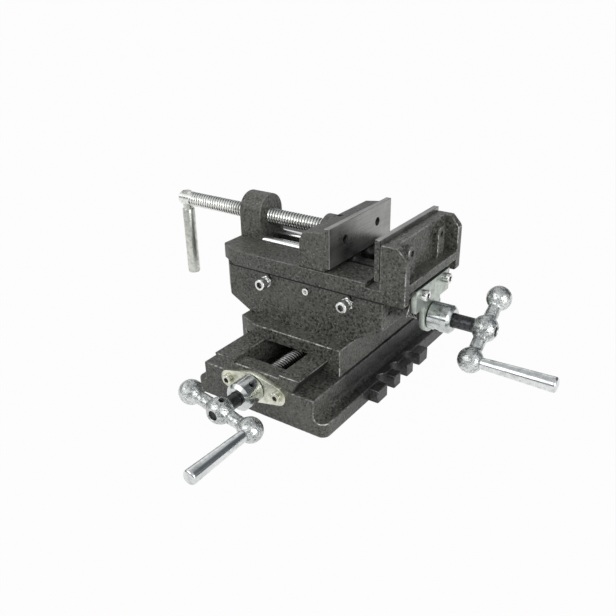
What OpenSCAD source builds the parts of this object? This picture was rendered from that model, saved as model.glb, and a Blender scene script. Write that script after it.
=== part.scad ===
// Cross slide vise: a machine vise on two dovetail slides set square to each other,
// each slide driven by a feed screw with a three-ball crank.
// Millimetres, +Z up. The origin is the centre of the base's underside.
// +X runs along the clamp screw towards the fixed jaw, +Y from the front crank to the back.

/* [Base] */
// Length of the base along Y
base_len = 228; // [216:1:250]
// Width of the flange along X
base_w = 136; // [130:1:150]
// Height of the flange
flange_h = 13; // [9:0.5:15]
// Width of the raised block on the flange
block_w = 114; // [108:1:118]
// Height of the platform that the saddle runs over
platform_h = 32; // [31:0.5:34]
// Radius at the foot of the raised block
cove_r = 5; // [2:0.5:5]
// Radius of the upright corners of the flange
corner_r = 7; // [3:0.5:10]
// Width over the top of the dovetail ways
y_way_w = 88; // [84:1:92]
// Width of the trough between the ways
trough_w = 46; // [42:1:50]
// Height of the trough's floor
trough_floor = 12; // [9:0.5:13]
// Thickness of the walls at the ends of the trough
wall_t = 15; // [12:0.5:18]
// How far the front wall's top is relieved between the ways
wall_dip = 3; // [0.5:0.5:5]

// Width of the cored pockets under the base
core_w = 22; // [16:1:24]
// Depth of the cored pockets under the base
core_h = 20; // [14:1:21]

/* [Bolt slots] */
// How far the bolt lugs stand out from the flange
lug_out = 9; // [7:0.5:12]
// Length of each row of lugs
lug_run = 93; // [86:1:100]
// Width of each bolt slot
slot_w = 12.5; // [10:0.5:14]
// Distance between the centres of neighbouring slots
slot_pitch = 24; // [20:0.5:27]
// Depth of each slot from the lugs' outer faces
slot_depth = 13.5; // [11:0.5:15]

/* [Saddle] */
// Where the saddle's centre stands along Y in the rest pose
saddle_y = -5.5; // [-8:0.5:4]
// Length of the saddle's lower part along Y
saddle_len = 135; // [128:1:140]
// Width of the saddle's lower part along X
saddle_w = 110; // [108:1:116]
// Height of the lip in front of the upper block
lip_h = 57; // [55:0.5:59]
// Length of the upper block along X
block_len = 166; // [158:1:168]
// Height at which the upper block's flared ends turn upright
flare_h = 74; // [70:1:78]
// How far the flare's foot stands in from the lower part's sides
flare_inset = 3; // [1:0.5:6]
// Chamfer of the foot's left corners along X
saddle_chamfer_x = 22; // [14:1:26]
// Chamfer of the foot's left corners along Y
saddle_chamfer_y = 9; // [5:0.5:11]
// Chamfer of the upper block's left corners
block_chamfer = 9; // [5:0.5:12]
// Height of the running face between saddle and vise body
x_way_z = 99.5; // [99:0.5:101]
// Depth of the upper block along Y
block_depth = 98; // [96:1:100]

/* [Vise body] */
// Where the vise body's centre stands along X in the rest pose
body_x = 5.5; // [4:0.5:9]
// Length of the vise body along X
body_len = 184; // [180:1:190]
// Thickness of the bed
bed_t = 14; // [13:0.5:16]
// Length of the left corner chamfers along X
bed_chamfer_x = 19; // [12:1:22]
// Width of the left corner chamfers along Y
bed_chamfer_y = 10; // [6:1:14]
// Width of the channel along the bed
channel_w = 36; // [34:1:40]
// Thickness of the nut post along X
post_t = 24; // [20:1:26]
// Width of the nut post along Y
post_w = 33; // [30:1:36]
// Height of the clamp screw's axis
clamp_z = 132; // [131:0.5:134]
// Diameter of each guide rod
rod_d = 9; // [8:0.5:10]
// Distance of each guide rod from the middle
rod_y = 11.5; // [10.5:0.5:12]

/* [Jaws] */
// Width of the jaws
jaw_w = 100; // [96:1:100]
// Height of the top of the jaw plates
jaw_top = 151; // [149:0.5:154]
// Height of the foot of the jaw plates
plate_foot = 117; // [116:0.5:119]
// Thickness of the jaw plates
plate_t = 5; // [4:0.5:6]
// Gap between the jaw plates in the rest pose
jaw_gap = 41; // [30:1:46]
// Distance of the fixed plate's face from the body's right end
fixed_face_in = 22.5; // [20:0.5:24]
// Thickness of the moving jaw's casting at its foot
moving_t = 26; // [24:0.5:28]
// How far the fixed jaw's webs stand past the body's right end
web_out = 5; // [4:0.5:6]
// Distance between the two screws of a jaw plate
jaw_screw_pitch = 52; // [44:1:60]

/* [Clamp screw] */
// Diameter of the clamp screw
clamp_d = 14; // [13:0.5:15]
// Distance of the handle from the nut post in the rest pose
handle_out = 81.5; // [76:0.5:95]
// Diameter of the handle's bar
handle_d = 12; // [11:0.5:13]
// Length of the handle below the screw's axis
handle_len = 79; // [65:1:90]

/* [Feed screws] */
// Height of the lower screw's axis
y_screw_z = 28; // [27:0.5:29]
// Height of the upper screw's axis
x_screw_z = 75; // [74:0.5:76]
// Diameter of the feed screws' thread
feed_d = 14; // [13:0.5:15]
// Diameter of the feed screws' shaft outside the end plates
shaft_d = 12; // [10.5:0.5:12]
// Thickness of the end plates
end_plate_t = 5; // [4:0.5:5]
// Diameter of the collars
collar_d = 24; // [21:0.5:26]
// Length of the collars
collar_len = 19.5; // [17:0.5:21]
// Turn of the lower collar's set screw from straight up
y_collar_turn = -35; // [-60:5:60]
// Turn of the upper collar's set screw from straight up
x_collar_turn = 140; // [60:5:180]

/* [Cranks] */
// Diameter of the hub ball
hub_d = 21.5; // [20:0.5:23]
// Diameter of the end balls
ball_d = 20.5; // [18:0.5:22]
// Distance from the hub to each end ball
crank_r = 30.5; // [27:0.5:34]
// Distance of the lower crank's hub from its end plate
y_hub_out = 39.5; // [38:0.5:46]
// Distance of the upper crank's hub from its end plate
x_hub_out = 46.5; // [40:0.5:50]
// Diameter of the shafts' stepped ends in the hubs
tail_d = 8; // [7:0.5:9]
// Distance of the grip's end from the crank's middle
grip_reach = 68; // [55:1:80]
// Diameter of the grip at the ball
grip_d0 = 9.4; // [8:0.2:10]
// Diameter of the grip at its free end
grip_d1 = 12.2; // [11:0.2:14]
// Angle of the lower crank in the rest pose
y_crank_angle = -12.4; // [-15:0.2:10]
// Angle of the upper crank in the rest pose
x_crank_angle = 212.7; // [180:0.1:240]

/* [Fasteners] */
// Radius of the lower end plate about the screw
y_plate_mid_r = 13.5; // [12:0.5:15]
// Radius of the lower end plate's ends
y_plate_end_r = 8; // [7:0.5:9]
// Depth of an end plate's screw in the casting
plate_screw_bite = 10; // [8:1:12]
// Depth of a jaw plate's screw in the casting
jaw_screw_bite = 8; // [6:1:9]
// Length of the upper gib's screws outside the block
x_gib_screw_out = 14; // [13:0.5:16]
// Diameter of the upper gib screws' heads
x_gib_head_d = 10; // [9:0.5:11]
// Height of the upper gib screws' heads
x_gib_head_h = 6; // [5:0.5:7]
// Diameter of the end plates' screws
plate_screw_d = 5; // [4:0.5:6]
// Diameter of the end plates' screw heads
plate_head_d = 9; // [8:0.5:10]
// Height of the lower end plate's screw heads
y_plate_head_h = 3.5; // [3:0.5:5]
// Height of the upper end plate's screw heads
x_plate_head_h = 5.5; // [4:0.5:6]
// Diameter of the feed nuts' screws
nut_screw_d = 4; // [3:0.5:4]
// Diameter of the feed nuts' screw heads
nut_head_d = 7; // [6:0.5:7]
// Distance of the feed nuts' screws from the nut's middle
nut_screw_out = 10.5; // [10:0.5:11]
// Diameter of the set screws in the collars and cranks
grub_d = 5; // [4:0.5:6]
// Diameter of the lock screw and of the retaining screw
lock_screw_d = 6; // [5:0.5:7]
// Diameter of the jaw plates' screws
jaw_screw_d = 5; // [4:0.5:6]
// Diameter of the jaw plates' screw heads
jaw_head_d = 7.6; // [7:0.2:9]
// Depth of the jaw plates' screw heads below the working face
jaw_head_sink = 1.5; // [0.5:0.5:2]
// Width across the flats of the upper gib's lock nuts
x_gib_nut_af = 10; // [9:0.5:10.5]
// Width across the flats of the lower gib's lock nuts
y_gib_nut_af = 10; // [9:0.5:11]

/* [Fits] */
// Gap between sliding faces
slide_gap = 0.15; // [0.05:0.05:0.25]
// Play of a turning shaft in its bore, on the radius
run_gap = 0.05; // [0.02:0.01:0.08]
// Play of a fixed pin or screw in its hole, on the radius
set_gap = 0.02; // [0.01:0.01:0.04]

/* [Hidden] */
$fn = 64;
e = 0.01;
way_slope = tan(30);

// Dovetail of the lower slide
y_way_top = 45;
y_way_h = y_way_top - platform_h;
y_root_w = y_way_w - 2 * y_way_h * way_slope;
gib_t = 4;

// Dovetail of the upper slide
x_way_bottom = 85.5;
x_way_h = x_way_z - x_way_bottom;
x_way_w = 72;
x_root_w = x_way_w - 2 * x_way_h * way_slope;

// Main planes
base_front = -base_len / 2;
saddle_bottom = platform_h + slide_gap;
saddle_top = x_way_z - slide_gap;
bed_top = x_way_z + bed_t;
body_left = body_x - body_len / 2;
body_right = body_x + body_len / 2;
post_right = body_left + post_t;
fixed_face = body_right - fixed_face_in;
fixed_back = fixed_face + plate_t;
moving_face = fixed_face - jaw_gap;
moving_front = moving_face - plate_t;
moving_back = moving_front - moving_t;
jaw_cast_top = jaw_top - 3.5;
fixed_wall_t = 10;
boss_d = 12;
boss_out = 5;
shelf_low = bed_top - 4;
shelf_top = bed_top + 3.5;
web_t = 7;
jaw_screw_z = plate_foot + (jaw_top - plate_foot) * 0.56;
rod_z = bed_top - 1.5;

// Clamp screw
journal_d = 10;
clamp_journal = moving_back - 4.1;
clamp_tip = moving_back + 16;
groove_x = moving_back + 9;
groove_w = 5;
groove_d = 7;
handle_x = body_left - handle_out;
neck_d = 9.6;

// Screws and nuts of the gibs
x_gib_screw_d = 6;
x_gib_mid = 11.8;
x_gib_screw_x = 41;
x_gib_screw_z = 93.2;
y_gib_screw_d = 6;
y_gib_screw_y = 42;
y_gib_screw_z = 39;
lock_x = x_gib_mid;
lock_z = 93.6;
lock_out = 4.5;

// Feed screws, measured inwards from the outer face of each end plate
shoulder_d = 18;
shoulder_t = 4;
y_screw_len = 190;
x_screw_len = 162;
y_plate_face = base_front - end_plate_t;
x_plate_face = body_right + end_plate_t;
nut_len = 26;
nut_w = 28;
y_nut_drop = 11.5;
x_nut_x = 38;
x_trough_floor = 62;
y_plate_screw_x = 25.3;
x_plate_w = 60;
x_plate_screw_y = 20.3;
x_plate_screw_z = 101;
x_plate_low = 87.2;
x_plate_top = 107;

iron = [0.25, 0.25, 0.25];
plate_grey = [0.30, 0.30, 0.31];
zinc = [0.80, 0.81, 0.80];
yellow_zinc = [0.74, 0.72, 0.58];
black_steel = [0.12, 0.12, 0.12];
bright_steel = [0.70, 0.71, 0.72];
bronze = [0.62, 0.47, 0.26];

// Shapes that repeat

// A box given by its low and high corners
module box(low, high) {
    translate(low)
        cube(high - low);
}

// A rod along X, Y or Z, given by its start, length and diameter
module rod_x(start, len, d) {
    translate(start) rotate([0, 90, 0]) cylinder(d = d, h = len);
}

module rod_y(start, len, d) {
    translate(start) rotate([-90, 0, 0]) cylinder(d = d, h = len);
}

module rod_z(start, len, d) {
    translate(start) cylinder(d = d, h = len);
}

// A profile drawn in Y and Z, drawn out along X
module along_x(x0, x1) {
    translate([x0, 0, 0]) rotate([90, 0, 90]) linear_extrude(x1 - x0) children();
}

// A profile drawn in X and Z, drawn out along Y
module along_y(y0, y1) {
    translate([0, y1, 0]) rotate([90, 0, 0]) linear_extrude(y1 - y0) children();
}

// Outline of a dovetail whose wide edge lies at height z_wide and whose root lies at z_root
module dovetail(wide, root, z_wide, z_root) {
    polygon([[-wide / 2, z_wide], [wide / 2, z_wide], [root / 2, z_root], [-root / 2, z_root]]);
}

// The lower screw's place: local Z points out of the front plate, local X along +X
module at_y_screw() {
    translate([0, y_plate_face, y_screw_z]) rotate([90, 0, 0]) children();
}

// The upper screw's place: local Z points out of the end plate, local X along +Y
module at_x_screw() {
    translate([x_plate_face, saddle_y, x_screw_z]) rotate([90, 0, 90]) children();
}

// A cap screw along local Z, with its head above the seat at z = 0 and a hexagon socket
module cap_screw(d, len, head_d, head_h) {
    difference() {
        union() {
            cylinder(d = head_d, h = head_h);
            translate([0, 0, -len]) cylinder(d = d, h = len + e);
        }
        translate([0, 0, head_h - 0.5 * head_h]) cylinder(d = 0.95 * d, h = head_h, $fn = 6);
    }
}

// A socket set screw along local Z, from its tip at z = 0 to its socket end
module set_screw(d, len) {
    difference() {
        cylinder(d = d, h = len);
        translate([0, 0, len - 0.4 * d]) cylinder(d = 0.6 * d, h = d, $fn = 6);
    }
}

// A hexagon nut along local Z
module hex_nut(d, across, h) {
    difference() {
        cylinder(d = across / cos(30), h = h, $fn = 6);
        translate([0, 0, -1]) cylinder(d = d + 2 * set_gap, h = h + 2);
    }
}

// A flat-head screw along local Z, with its head flush at z = 0
module flat_screw(d, head_d, len) {
    sink = (head_d - d) / 2;
    difference() {
        union() {
            translate([0, 0, -sink]) cylinder(d1 = d, d2 = head_d, h = sink);
            translate([0, 0, -len]) cylinder(d = d, h = len - sink + e);
        }
        translate([0, 0, -0.7 * sink]) cylinder(d = 0.55 * d, h = d, $fn = 6);
    }
}

// The hole for a flat-head screw, a little larger than the screw
module flat_screw_hole(d, head_d, len) {
    sink = (head_d - d) / 2;
    translate([0, 0, -sink]) cylinder(d1 = d + 2 * set_gap, d2 = head_d + 2 * set_gap, h = sink + e);
    translate([0, 0, -len - 0.2]) cylinder(d = d + 2 * set_gap, h = len + 0.2);
}

// A feed screw: thread and thrust shoulder inside the end plate, plain shaft outside it
module feed_screw(inside, hub_out) {
    step = hub_out + tail_step;
    union() {
        translate([0, 0, -inside]) cylinder(d = feed_d, h = inside - end_plate_t - 1);
        translate([0, 0, -end_plate_t - shoulder_t - 0.1]) cylinder(d = shoulder_d, h = shoulder_t);
        translate([0, 0, -end_plate_t - 2]) cylinder(d = shaft_d, h = end_plate_t + 2 + step);
        translate([0, 0, step - 1]) cylinder(d = tail_d, h = hub_d / 2 - 3 - tail_step + 1);
    }
}

// Where a collar's set screw stands along the shaft
function collar_hole_z() = 0.6 + collar_len * 0.4;

// A collar on the shaft with a chamfered front edge and a set screw hole in its side
module collar() {
    chamfer = 2.5;
    difference() {
        translate([0, 0, 0.6]) union() {
            cylinder(d = collar_d, h = collar_len - chamfer);
            translate([0, 0, collar_len - chamfer])
                cylinder(d1 = collar_d, d2 = collar_d - 2 * chamfer, h = chamfer);
        }
        translate([0, 0, -1]) cylinder(d = shaft_d + 2 * set_gap, h = collar_len + 4);
        translate([0, 0, collar_hole_z()]) rotate([-90, 0, 0])
            cylinder(d = grub_d + 2 * set_gap, h = collar_d);
    }
}

// The set screw in a collar, sunk below its surface
module collar_set_screw() {
    translate([0, shaft_d / 2 + set_gap, collar_hole_z()]) rotate([-90, 0, 0])
        set_screw(grub_d, (collar_d - shaft_d) / 2 - 1.5);
}

// A three-ball crank about local Z: a bored hub ball and two end balls on tapered arms.
// The ball at local +X carries the grip.
module three_ball_crank() {
    arm_d0 = 11.6;
    arm_d1 = 10.2;
    ball_flat = 0.15;
    difference() {
        union() {
            intersection() {
                rotate([0, 90, 0]) sphere(d = hub_d);
                cube([2 * hub_d, 2 * hub_d, hub_d - 3], center = true);
            }
            for (side = [-1, 1]) {
                translate([side * crank_r, 0, 0]) rotate([0, 90, 0]) sphere(d = ball_d);
                rotate([0, side * 90, 0])
                    cylinder(d1 = arm_d0, d2 = arm_d1, h = crank_r);
            }
        }
        for (side = [-1, 1])
            translate([side * (crank_r + ball_d - ball_flat), 0, 0]) cube(ball_d, center = true);
        cylinder(d = tail_d + 2 * set_gap, h = 2 * hub_d, center = true);
        translate([0, 0, -hub_d]) cylinder(d = shaft_d + 2 * set_gap, h = hub_d + tail_step + 0.2);
        rotate([-90, 0, 0]) cylinder(d = grub_d + 2 * set_gap, h = hub_d);
        translate([crank_r, 0, -4]) cylinder(d = grip_pin_d + 2 * set_gap, h = ball_d);
        translate([crank_r, 0, grip_seat]) cylinder(d = ball_d, h = ball_d);
    }
}
grip_pin_d = 6;
grip_seat = sqrt(pow(ball_d / 2, 2) - pow(grip_d0 / 2 + 0.3, 2));

// How far the full shaft reaches past the middle of the hub
tail_step = 3;

// The set screw in the crank's hub
module crank_set_screw() {
    translate([0, shaft_d / 2 + set_gap, 0]) rotate([-90, 0, 0])
        set_screw(grub_d, hub_d / 2 - shaft_d / 2 - 1.5);
}

// A tapered grip along local Z with a pin into the end ball and a rounded free end
module crank_grip() {
    seat = grip_seat + set_gap;
    dome = 2;
    translate([crank_r, 0, 0]) rotate_extrude() polygon([
        [0, -4], [grip_pin_d / 2, -4], [grip_pin_d / 2, seat], [grip_d0 / 2, seat],
        [grip_d1 / 2, grip_reach - dome], [grip_d1 / 2 - dome, grip_reach], [0, grip_reach],
    ]);
}

// Base

// A row of lugs with open bolt slots on one side of the flange
module lug_row() {
    side = base_w / 2;
    box([side - 4, -lug_run / 2, 0], [side + lug_out, lug_run / 2, flange_h - 1]);
}

module bolt_slots() {
    outer = base_w / 2 + lug_out;
    middle = outer - slot_depth + slot_w / 2;
    for (i = [-1, 0, 1])
        translate([0, i * slot_pitch, 0]) {
            rod_z([middle, 0, -1], flange_h + 2, slot_w);
            box([middle, -slot_w / 2, -1], [outer + 1, slot_w / 2, flange_h + 1]);
        }
}

// The hollow fillet at the foot of the raised block, on the right side
module cove() {
    difference() {
        translate([block_w / 2 - 1, flange_h - 1]) square(cove_r + 1);
        translate([block_w / 2 + cove_r, flange_h + cove_r]) circle(r = 1.06 * cove_r);
    }
}

// The base's outline across Y: flange, coved block and dovetail ways
module base_profile() {
    translate([-base_w / 2, 0]) square([base_w, flange_h]);
    translate([-block_w / 2, 0]) square([block_w, platform_h]);
    dovetail(y_way_w, y_root_w, y_way_top, platform_h - e);
    cove();
    mirror([1, 0]) cove();
}

// What is cut off one upright corner of the flange to round it
module corner_cut() {
    difference() {
        translate([-1, -1]) square(corner_r + 1);
        translate([corner_r, corner_r]) circle(r = corner_r);
    }
}

// Cored pockets in the underside, three beside each other on one side of the trough
module core_pockets() {
    near = trough_w / 2 + 7;
    core_len = (base_len - 2 * wall_t - 2 * 10) / 3;
    for (i = [-1, 0, 1])
        translate([near, i * (core_len + 10) - core_len / 2, -1])
            cube([core_w, core_len, core_h + 1]);
}

module base_casting() {
    color(iron) difference() {
        union() {
            along_y(base_front, -base_front) base_profile();
            for (side = [0, 1]) mirror([side, 0, 0]) lug_row();
        }
        box([-trough_w / 2, base_front + wall_t, trough_floor],
            [trough_w / 2, -base_front - wall_t, y_way_top + 1]);
        box([-trough_w / 2, base_front - 1, y_way_top - wall_dip],
            [trough_w / 2, -base_front + 1, y_way_top + 1]);
        for (side = [0, 1]) mirror([side, 0, 0]) {
            bolt_slots();
            core_pockets();
        }
        for (mx = [0, 1], my = [0, 1]) mirror([mx, 0, 0]) mirror([0, my, 0])
            translate([-base_w / 2, base_front, -1]) linear_extrude(flange_h + 2) corner_cut();
        rod_y([0, base_front - 1, y_screw_z], wall_t + 2, feed_d + 1);
        rod_y([0, base_front - 1, y_screw_z], shoulder_t + 1.4, shoulder_d + 1);
        for (side = [-1, 1])
            rod_y([side * y_plate_screw_x, base_front - 1, y_screw_z], plate_screw_bite + 3,
                plate_screw_d + 2 * set_gap);
    }
}

// A lozenge: a middle disc joined by tangents to an end disc on each side
module lozenge(mid_r, end_r, reach, h) {
    a = acos((mid_r - end_r) / reach);
    mid = [mid_r * cos(a), mid_r * sin(a)];
    tip = [reach + end_r * cos(a), end_r * sin(a)];
    cylinder(r = mid_r, h = h);
    for (side = [-1, 1])
        translate([side * reach, 0, 0]) cylinder(r = end_r, h = h);
    linear_extrude(h) polygon([
        tip, mid, [-mid.x, mid.y], [-tip.x, tip.y],
        [-tip.x, -tip.y], [-mid.x, -mid.y], [mid.x, -mid.y], [tip.x, -tip.y]
    ]);
}

module y_end_plate() {
    color(yellow_zinc) at_y_screw() translate([0, 0, -end_plate_t]) difference() {
        lozenge(y_plate_mid_r, y_plate_end_r, y_plate_screw_x, end_plate_t);
        translate([0, 0, -1]) cylinder(d = shaft_d + 2 * run_gap, h = end_plate_t + 2);
        for (side = [-1, 1])
            translate([side * y_plate_screw_x, 0, -1])
                cylinder(d = plate_screw_d + 2 * set_gap, h = end_plate_t + 2);
    }
}

module y_end_plate_screws() {
    color(yellow_zinc) at_y_screw() for (side = [-1, 1])
        translate([side * y_plate_screw_x, 0, 0])
            cap_screw(plate_screw_d, end_plate_t + plate_screw_bite, plate_head_d, y_plate_head_h);
}

// Lower feed screw, its collar and its crank

module y_feed_screw() {
    color(black_steel) at_y_screw() feed_screw(y_screw_len, y_hub_out);
}

module y_collar() {
    color(zinc) at_y_screw() rotate([0, 0, y_collar_turn]) collar();
}

module y_collar_set_screw() {
    color(black_steel) at_y_screw() rotate([0, 0, y_collar_turn]) collar_set_screw();
}

module at_y_crank() {
    at_y_screw() translate([0, 0, y_hub_out]) rotate([0, 0, y_crank_angle]) children();
}

module y_crank() {
    color(zinc) at_y_crank() three_ball_crank();
}

module y_crank_set_screw() {
    color(black_steel) at_y_crank() crank_set_screw();
}

module y_crank_grip() {
    color(zinc) at_y_crank() crank_grip();
}

// Saddle, drawn about its own middle

// Outline of the Y slide's female dovetail, with room for the gib on the left
module y_way_room() {
    top = y_way_top + slide_gap;
    low = platform_h - 1;
    shift = (top - low) * way_slope;
    right = y_way_w / 2 + 2 * slide_gap;
    left = right + gib_t;
    polygon([[-left, top], [right, top], [right - shift, low], [-left + shift, low]]);
}

// Outline of the X slide's female dovetail, with room for the gib in front
module x_way_room() {
    low = x_way_bottom - slide_gap;
    top = x_way_z + 1;
    shift = (top - low) * way_slope;
    back = x_way_w / 2 + 2 * slide_gap;
    front = back + gib_t;
    polygon([[-front, low], [back, low], [back - shift, top], [-front + shift, top]]);
}

// Outline of the upper block across Y: flared ends on an inset foot
module block_profile() {
    foot = saddle_w / 2 - flare_inset;
    half = block_len / 2;
    polygon([
        [-foot, lip_h - e], [foot, lip_h - e], [half, flare_h], [half, saddle_top],
        [-half, saddle_top], [-half, flare_h]
    ]);
}

// A wedge that takes off one upright left corner of a block
module corner_wedge(x, y, dx, dy, z0, z1) {
    translate([x, y, z0]) linear_extrude(z1 - z0)
        polygon([[-1, -1], [dx, -1], [dx, 0], [0, dy], [-1, dy]]);
}

module saddle_casting() {
    half = saddle_len / 2;
    depth = block_depth / 2;
    color(iron) translate([0, saddle_y, 0]) difference() {
        union() {
            box([-saddle_w / 2, -half, saddle_bottom], [saddle_w / 2, half, lip_h]);
            along_y(-depth, depth) block_profile();
        }
        along_y(-half - 1, half + 1) y_way_room();
        along_x(-block_len / 2 - 1, block_len / 2 + 1) x_way_room();
        box([-block_len, -nut_w / 2 - 0.3, x_trough_floor], [block_len, nut_w / 2 + 0.3, x_way_z]);
        for (my = [0, 1]) mirror([0, my, 0]) {
            corner_wedge(-block_len / 2, -depth, block_chamfer, block_chamfer, lip_h + 2, x_way_z + 1);
            corner_wedge(-saddle_w / 2, -half, saddle_chamfer_x, saddle_chamfer_y, 0, lip_h + 1);
        }
        for (side = [-1, 1]) {
            rod_y([x_gib_mid + side * x_gib_screw_x, -depth - 1, x_gib_screw_z], depth, x_gib_screw_d + 2 * set_gap);
            rod_z([side * nut_screw_out, 0, y_way_top - 1], 10, nut_screw_d + 2 * set_gap);
            rod_z([x_nut_x, side * nut_screw_out, x_trough_floor - 9], 10, nut_screw_d + 2 * set_gap);
        }
        rod_y([lock_x, -depth - 1, lock_z], depth, lock_screw_d + 2 * set_gap);
        for (y = [-1, 0, 1])
            rod_x([-saddle_w / 2 - 1, y * y_gib_screw_y, y_gib_screw_z],
                saddle_w / 2 - y_gib_outer(y_gib_screw_z) + 4, y_gib_screw_d + 2 * set_gap);
    }
}

// How far the outer face of a gib stands from the middle of its slide at height z
function y_gib_outer(z) = y_way_w / 2 + slide_gap + gib_t - (y_way_top - z) * way_slope;
function x_gib_outer(z) = x_way_w / 2 + slide_gap + gib_t - (z - x_way_bottom) * way_slope;

// Depth of the spot that a gib screw's tip sits in, measured where the screw's axis meets the gib
gib_spot = 1.6;

module y_gib() {
    z0 = saddle_bottom + 0.5;
    z1 = y_way_top - 0.3;
    color(bright_steel) translate([0, saddle_y, 0]) difference() {
        along_y(-saddle_len / 2 + saddle_chamfer_y, saddle_len / 2 - saddle_chamfer_y)
            polygon([
                [-y_gib_outer(z0), z0], [-y_gib_outer(z1), z1],
                [-y_gib_outer(z1) + gib_t, z1], [-y_gib_outer(z0) + gib_t, z0]
            ]);
        for (y = [-1, 0, 1])
            rod_x([-y_way_w, y * y_gib_screw_y, y_gib_screw_z],
                y_way_w - y_gib_outer(y_gib_screw_z) + gib_spot, y_gib_screw_d + 0.2);
    }
}

module y_gib_screws() {
    tip = -y_gib_outer(y_gib_screw_z) + gib_spot;
    end = -saddle_w / 2 - 8;
    color(zinc) translate([0, saddle_y, 0]) for (y = [-1, 0, 1])
        translate([tip, y * y_gib_screw_y, y_gib_screw_z]) rotate([0, -90, 0])
            set_screw(y_gib_screw_d, tip - end);
}

module y_gib_nuts() {
    color(zinc) translate([0, saddle_y, 0]) for (y = [-1, 0, 1])
        translate([-saddle_w / 2, y * y_gib_screw_y, y_gib_screw_z]) rotate([0, -90, 0])
            hex_nut(y_gib_screw_d, y_gib_nut_af, y_gib_nut_af / 2);
}

module y_feed_nut() {
    low = y_screw_z - y_nut_drop;
    color(bronze) translate([0, saddle_y, 0]) difference() {
        box([-nut_w / 2, -nut_len / 2, low], [nut_w / 2, nut_len / 2, y_way_top + slide_gap]);
        rod_y([0, -nut_len, y_screw_z], 2 * nut_len, feed_d + 2 * run_gap);
        for (side = [-1, 1]) {
            rod_z([side * nut_screw_out, 0, low - 1], 40, nut_screw_d + 2 * set_gap);
            rod_z([side * nut_screw_out, 0, low - 1], 5, nut_head_d + 0.4);
        }
    }
}

// The screws that hold a feed nut
module nut_screws(len) {
    for (side = [-1, 1])
        translate([side * nut_screw_out, 0, 0]) cap_screw(nut_screw_d, len, nut_head_d, 0.9 * nut_screw_d);
}

module y_nut_screws() {
    low = y_screw_z - y_nut_drop + 4;
    color(black_steel) translate([0, saddle_y, low]) mirror([0, 0, 1])
        nut_screws(y_way_top - low + 8);
}

module x_gib() {
    z0 = x_way_bottom + 0.3;
    z1 = saddle_top - 0.5;
    color(bright_steel) translate([0, saddle_y, 0]) difference() {
        along_x(-block_len / 2 + block_chamfer, block_len / 2 - block_chamfer)
            polygon([
                [-x_gib_outer(z0), z0], [-x_gib_outer(z0) + gib_t, z0],
                [-x_gib_outer(z1) + gib_t, z1], [-x_gib_outer(z1), z1]
            ]);
        for (side = [-1, 1])
            rod_y([x_gib_mid + side * x_gib_screw_x, -x_way_w, x_gib_screw_z],
                x_way_w - x_gib_outer(x_gib_screw_z) + gib_spot, x_gib_screw_d + 0.2);
        rod_y([lock_x, -x_way_w, lock_z], x_way_w - x_gib_outer(lock_z) + gib_spot, lock_screw_d + 0.2);
    }
}

module x_gib_screws() {
    tip = -x_gib_outer(x_gib_screw_z) + gib_spot;
    seat = -block_depth / 2 - x_gib_screw_out + x_gib_head_h;
    color(zinc) translate([x_gib_mid, saddle_y, 0]) for (side = [-1, 1])
        translate([side * x_gib_screw_x, seat, x_gib_screw_z]) rotate([90, 0, 0])
            cap_screw(x_gib_screw_d, tip - seat, x_gib_head_d, x_gib_head_h);
}

module x_gib_nuts() {
    color(zinc) translate([x_gib_mid, saddle_y, 0]) for (side = [-1, 1])
        translate([side * x_gib_screw_x, -block_depth / 2, x_gib_screw_z]) rotate([90, 30, 0])
            hex_nut(x_gib_screw_d, x_gib_nut_af, x_gib_nut_af / 2);
}

module x_lock_screw() {
    tip = -x_gib_outer(lock_z) + gib_spot;
    end = -block_depth / 2 - lock_out;
    color(zinc) translate([lock_x, saddle_y + tip, lock_z]) rotate([90, 0, 0])
        set_screw(lock_screw_d, tip - end);
}

module x_feed_nut() {
    top = x_way_bottom - slide_gap - 0.2;
    color(bronze) translate([x_nut_x, saddle_y, 0]) difference() {
        box([-nut_len / 2, -nut_w / 2, x_trough_floor], [nut_len / 2, nut_w / 2, top]);
        rod_x([-nut_len, 0, x_screw_z], 2 * nut_len, feed_d + 2 * run_gap);
        for (side = [-1, 1]) {
            rod_z([0, side * nut_screw_out, x_trough_floor - 1], 40, nut_screw_d + 2 * set_gap);
            rod_z([0, side * nut_screw_out, top - 4], 5, nut_head_d + 0.4);
        }
    }
}

module x_nut_screws() {
    top = x_way_bottom - slide_gap - 0.2;
    color(black_steel) translate([x_nut_x, saddle_y, top - 4]) rotate([0, 0, 90])
        nut_screws(top - 4 - x_trough_floor + 7);
}

// Vise body, drawn about the middle of the saddle's width

// Plan of the bed: a rectangle with its left corners chamfered
module bed_plan() {
    half = jaw_w / 2;
    polygon([
        [body_left, -half + bed_chamfer_y], [body_left + bed_chamfer_x, -half], [body_right, -half],
        [body_right, half], [body_left + bed_chamfer_x, half], [body_left, half - bed_chamfer_y]
    ]);
}

// Outline of the nut post seen along X: a block with a round head
module post_profile() {
    head_z = clamp_z + 4;
    translate([-post_w / 2, bed_top - 2]) square([post_w, head_z - bed_top + 2]);
    translate([0, head_z]) circle(d = post_w);
}

// Outline of the fixed jaw's end webs seen along Y, with the top rear corner taken off
module web_profile() {
    back = body_right + web_out;
    polygon([
        [fixed_back, x_way_z], [back - 1.5, x_way_z], [back, x_way_z + 2], [back, jaw_cast_top - 9.5],
        [back - 1.5, jaw_cast_top - 7], [back - 8, jaw_cast_top], [fixed_back, jaw_cast_top]
    ]);
}

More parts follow.
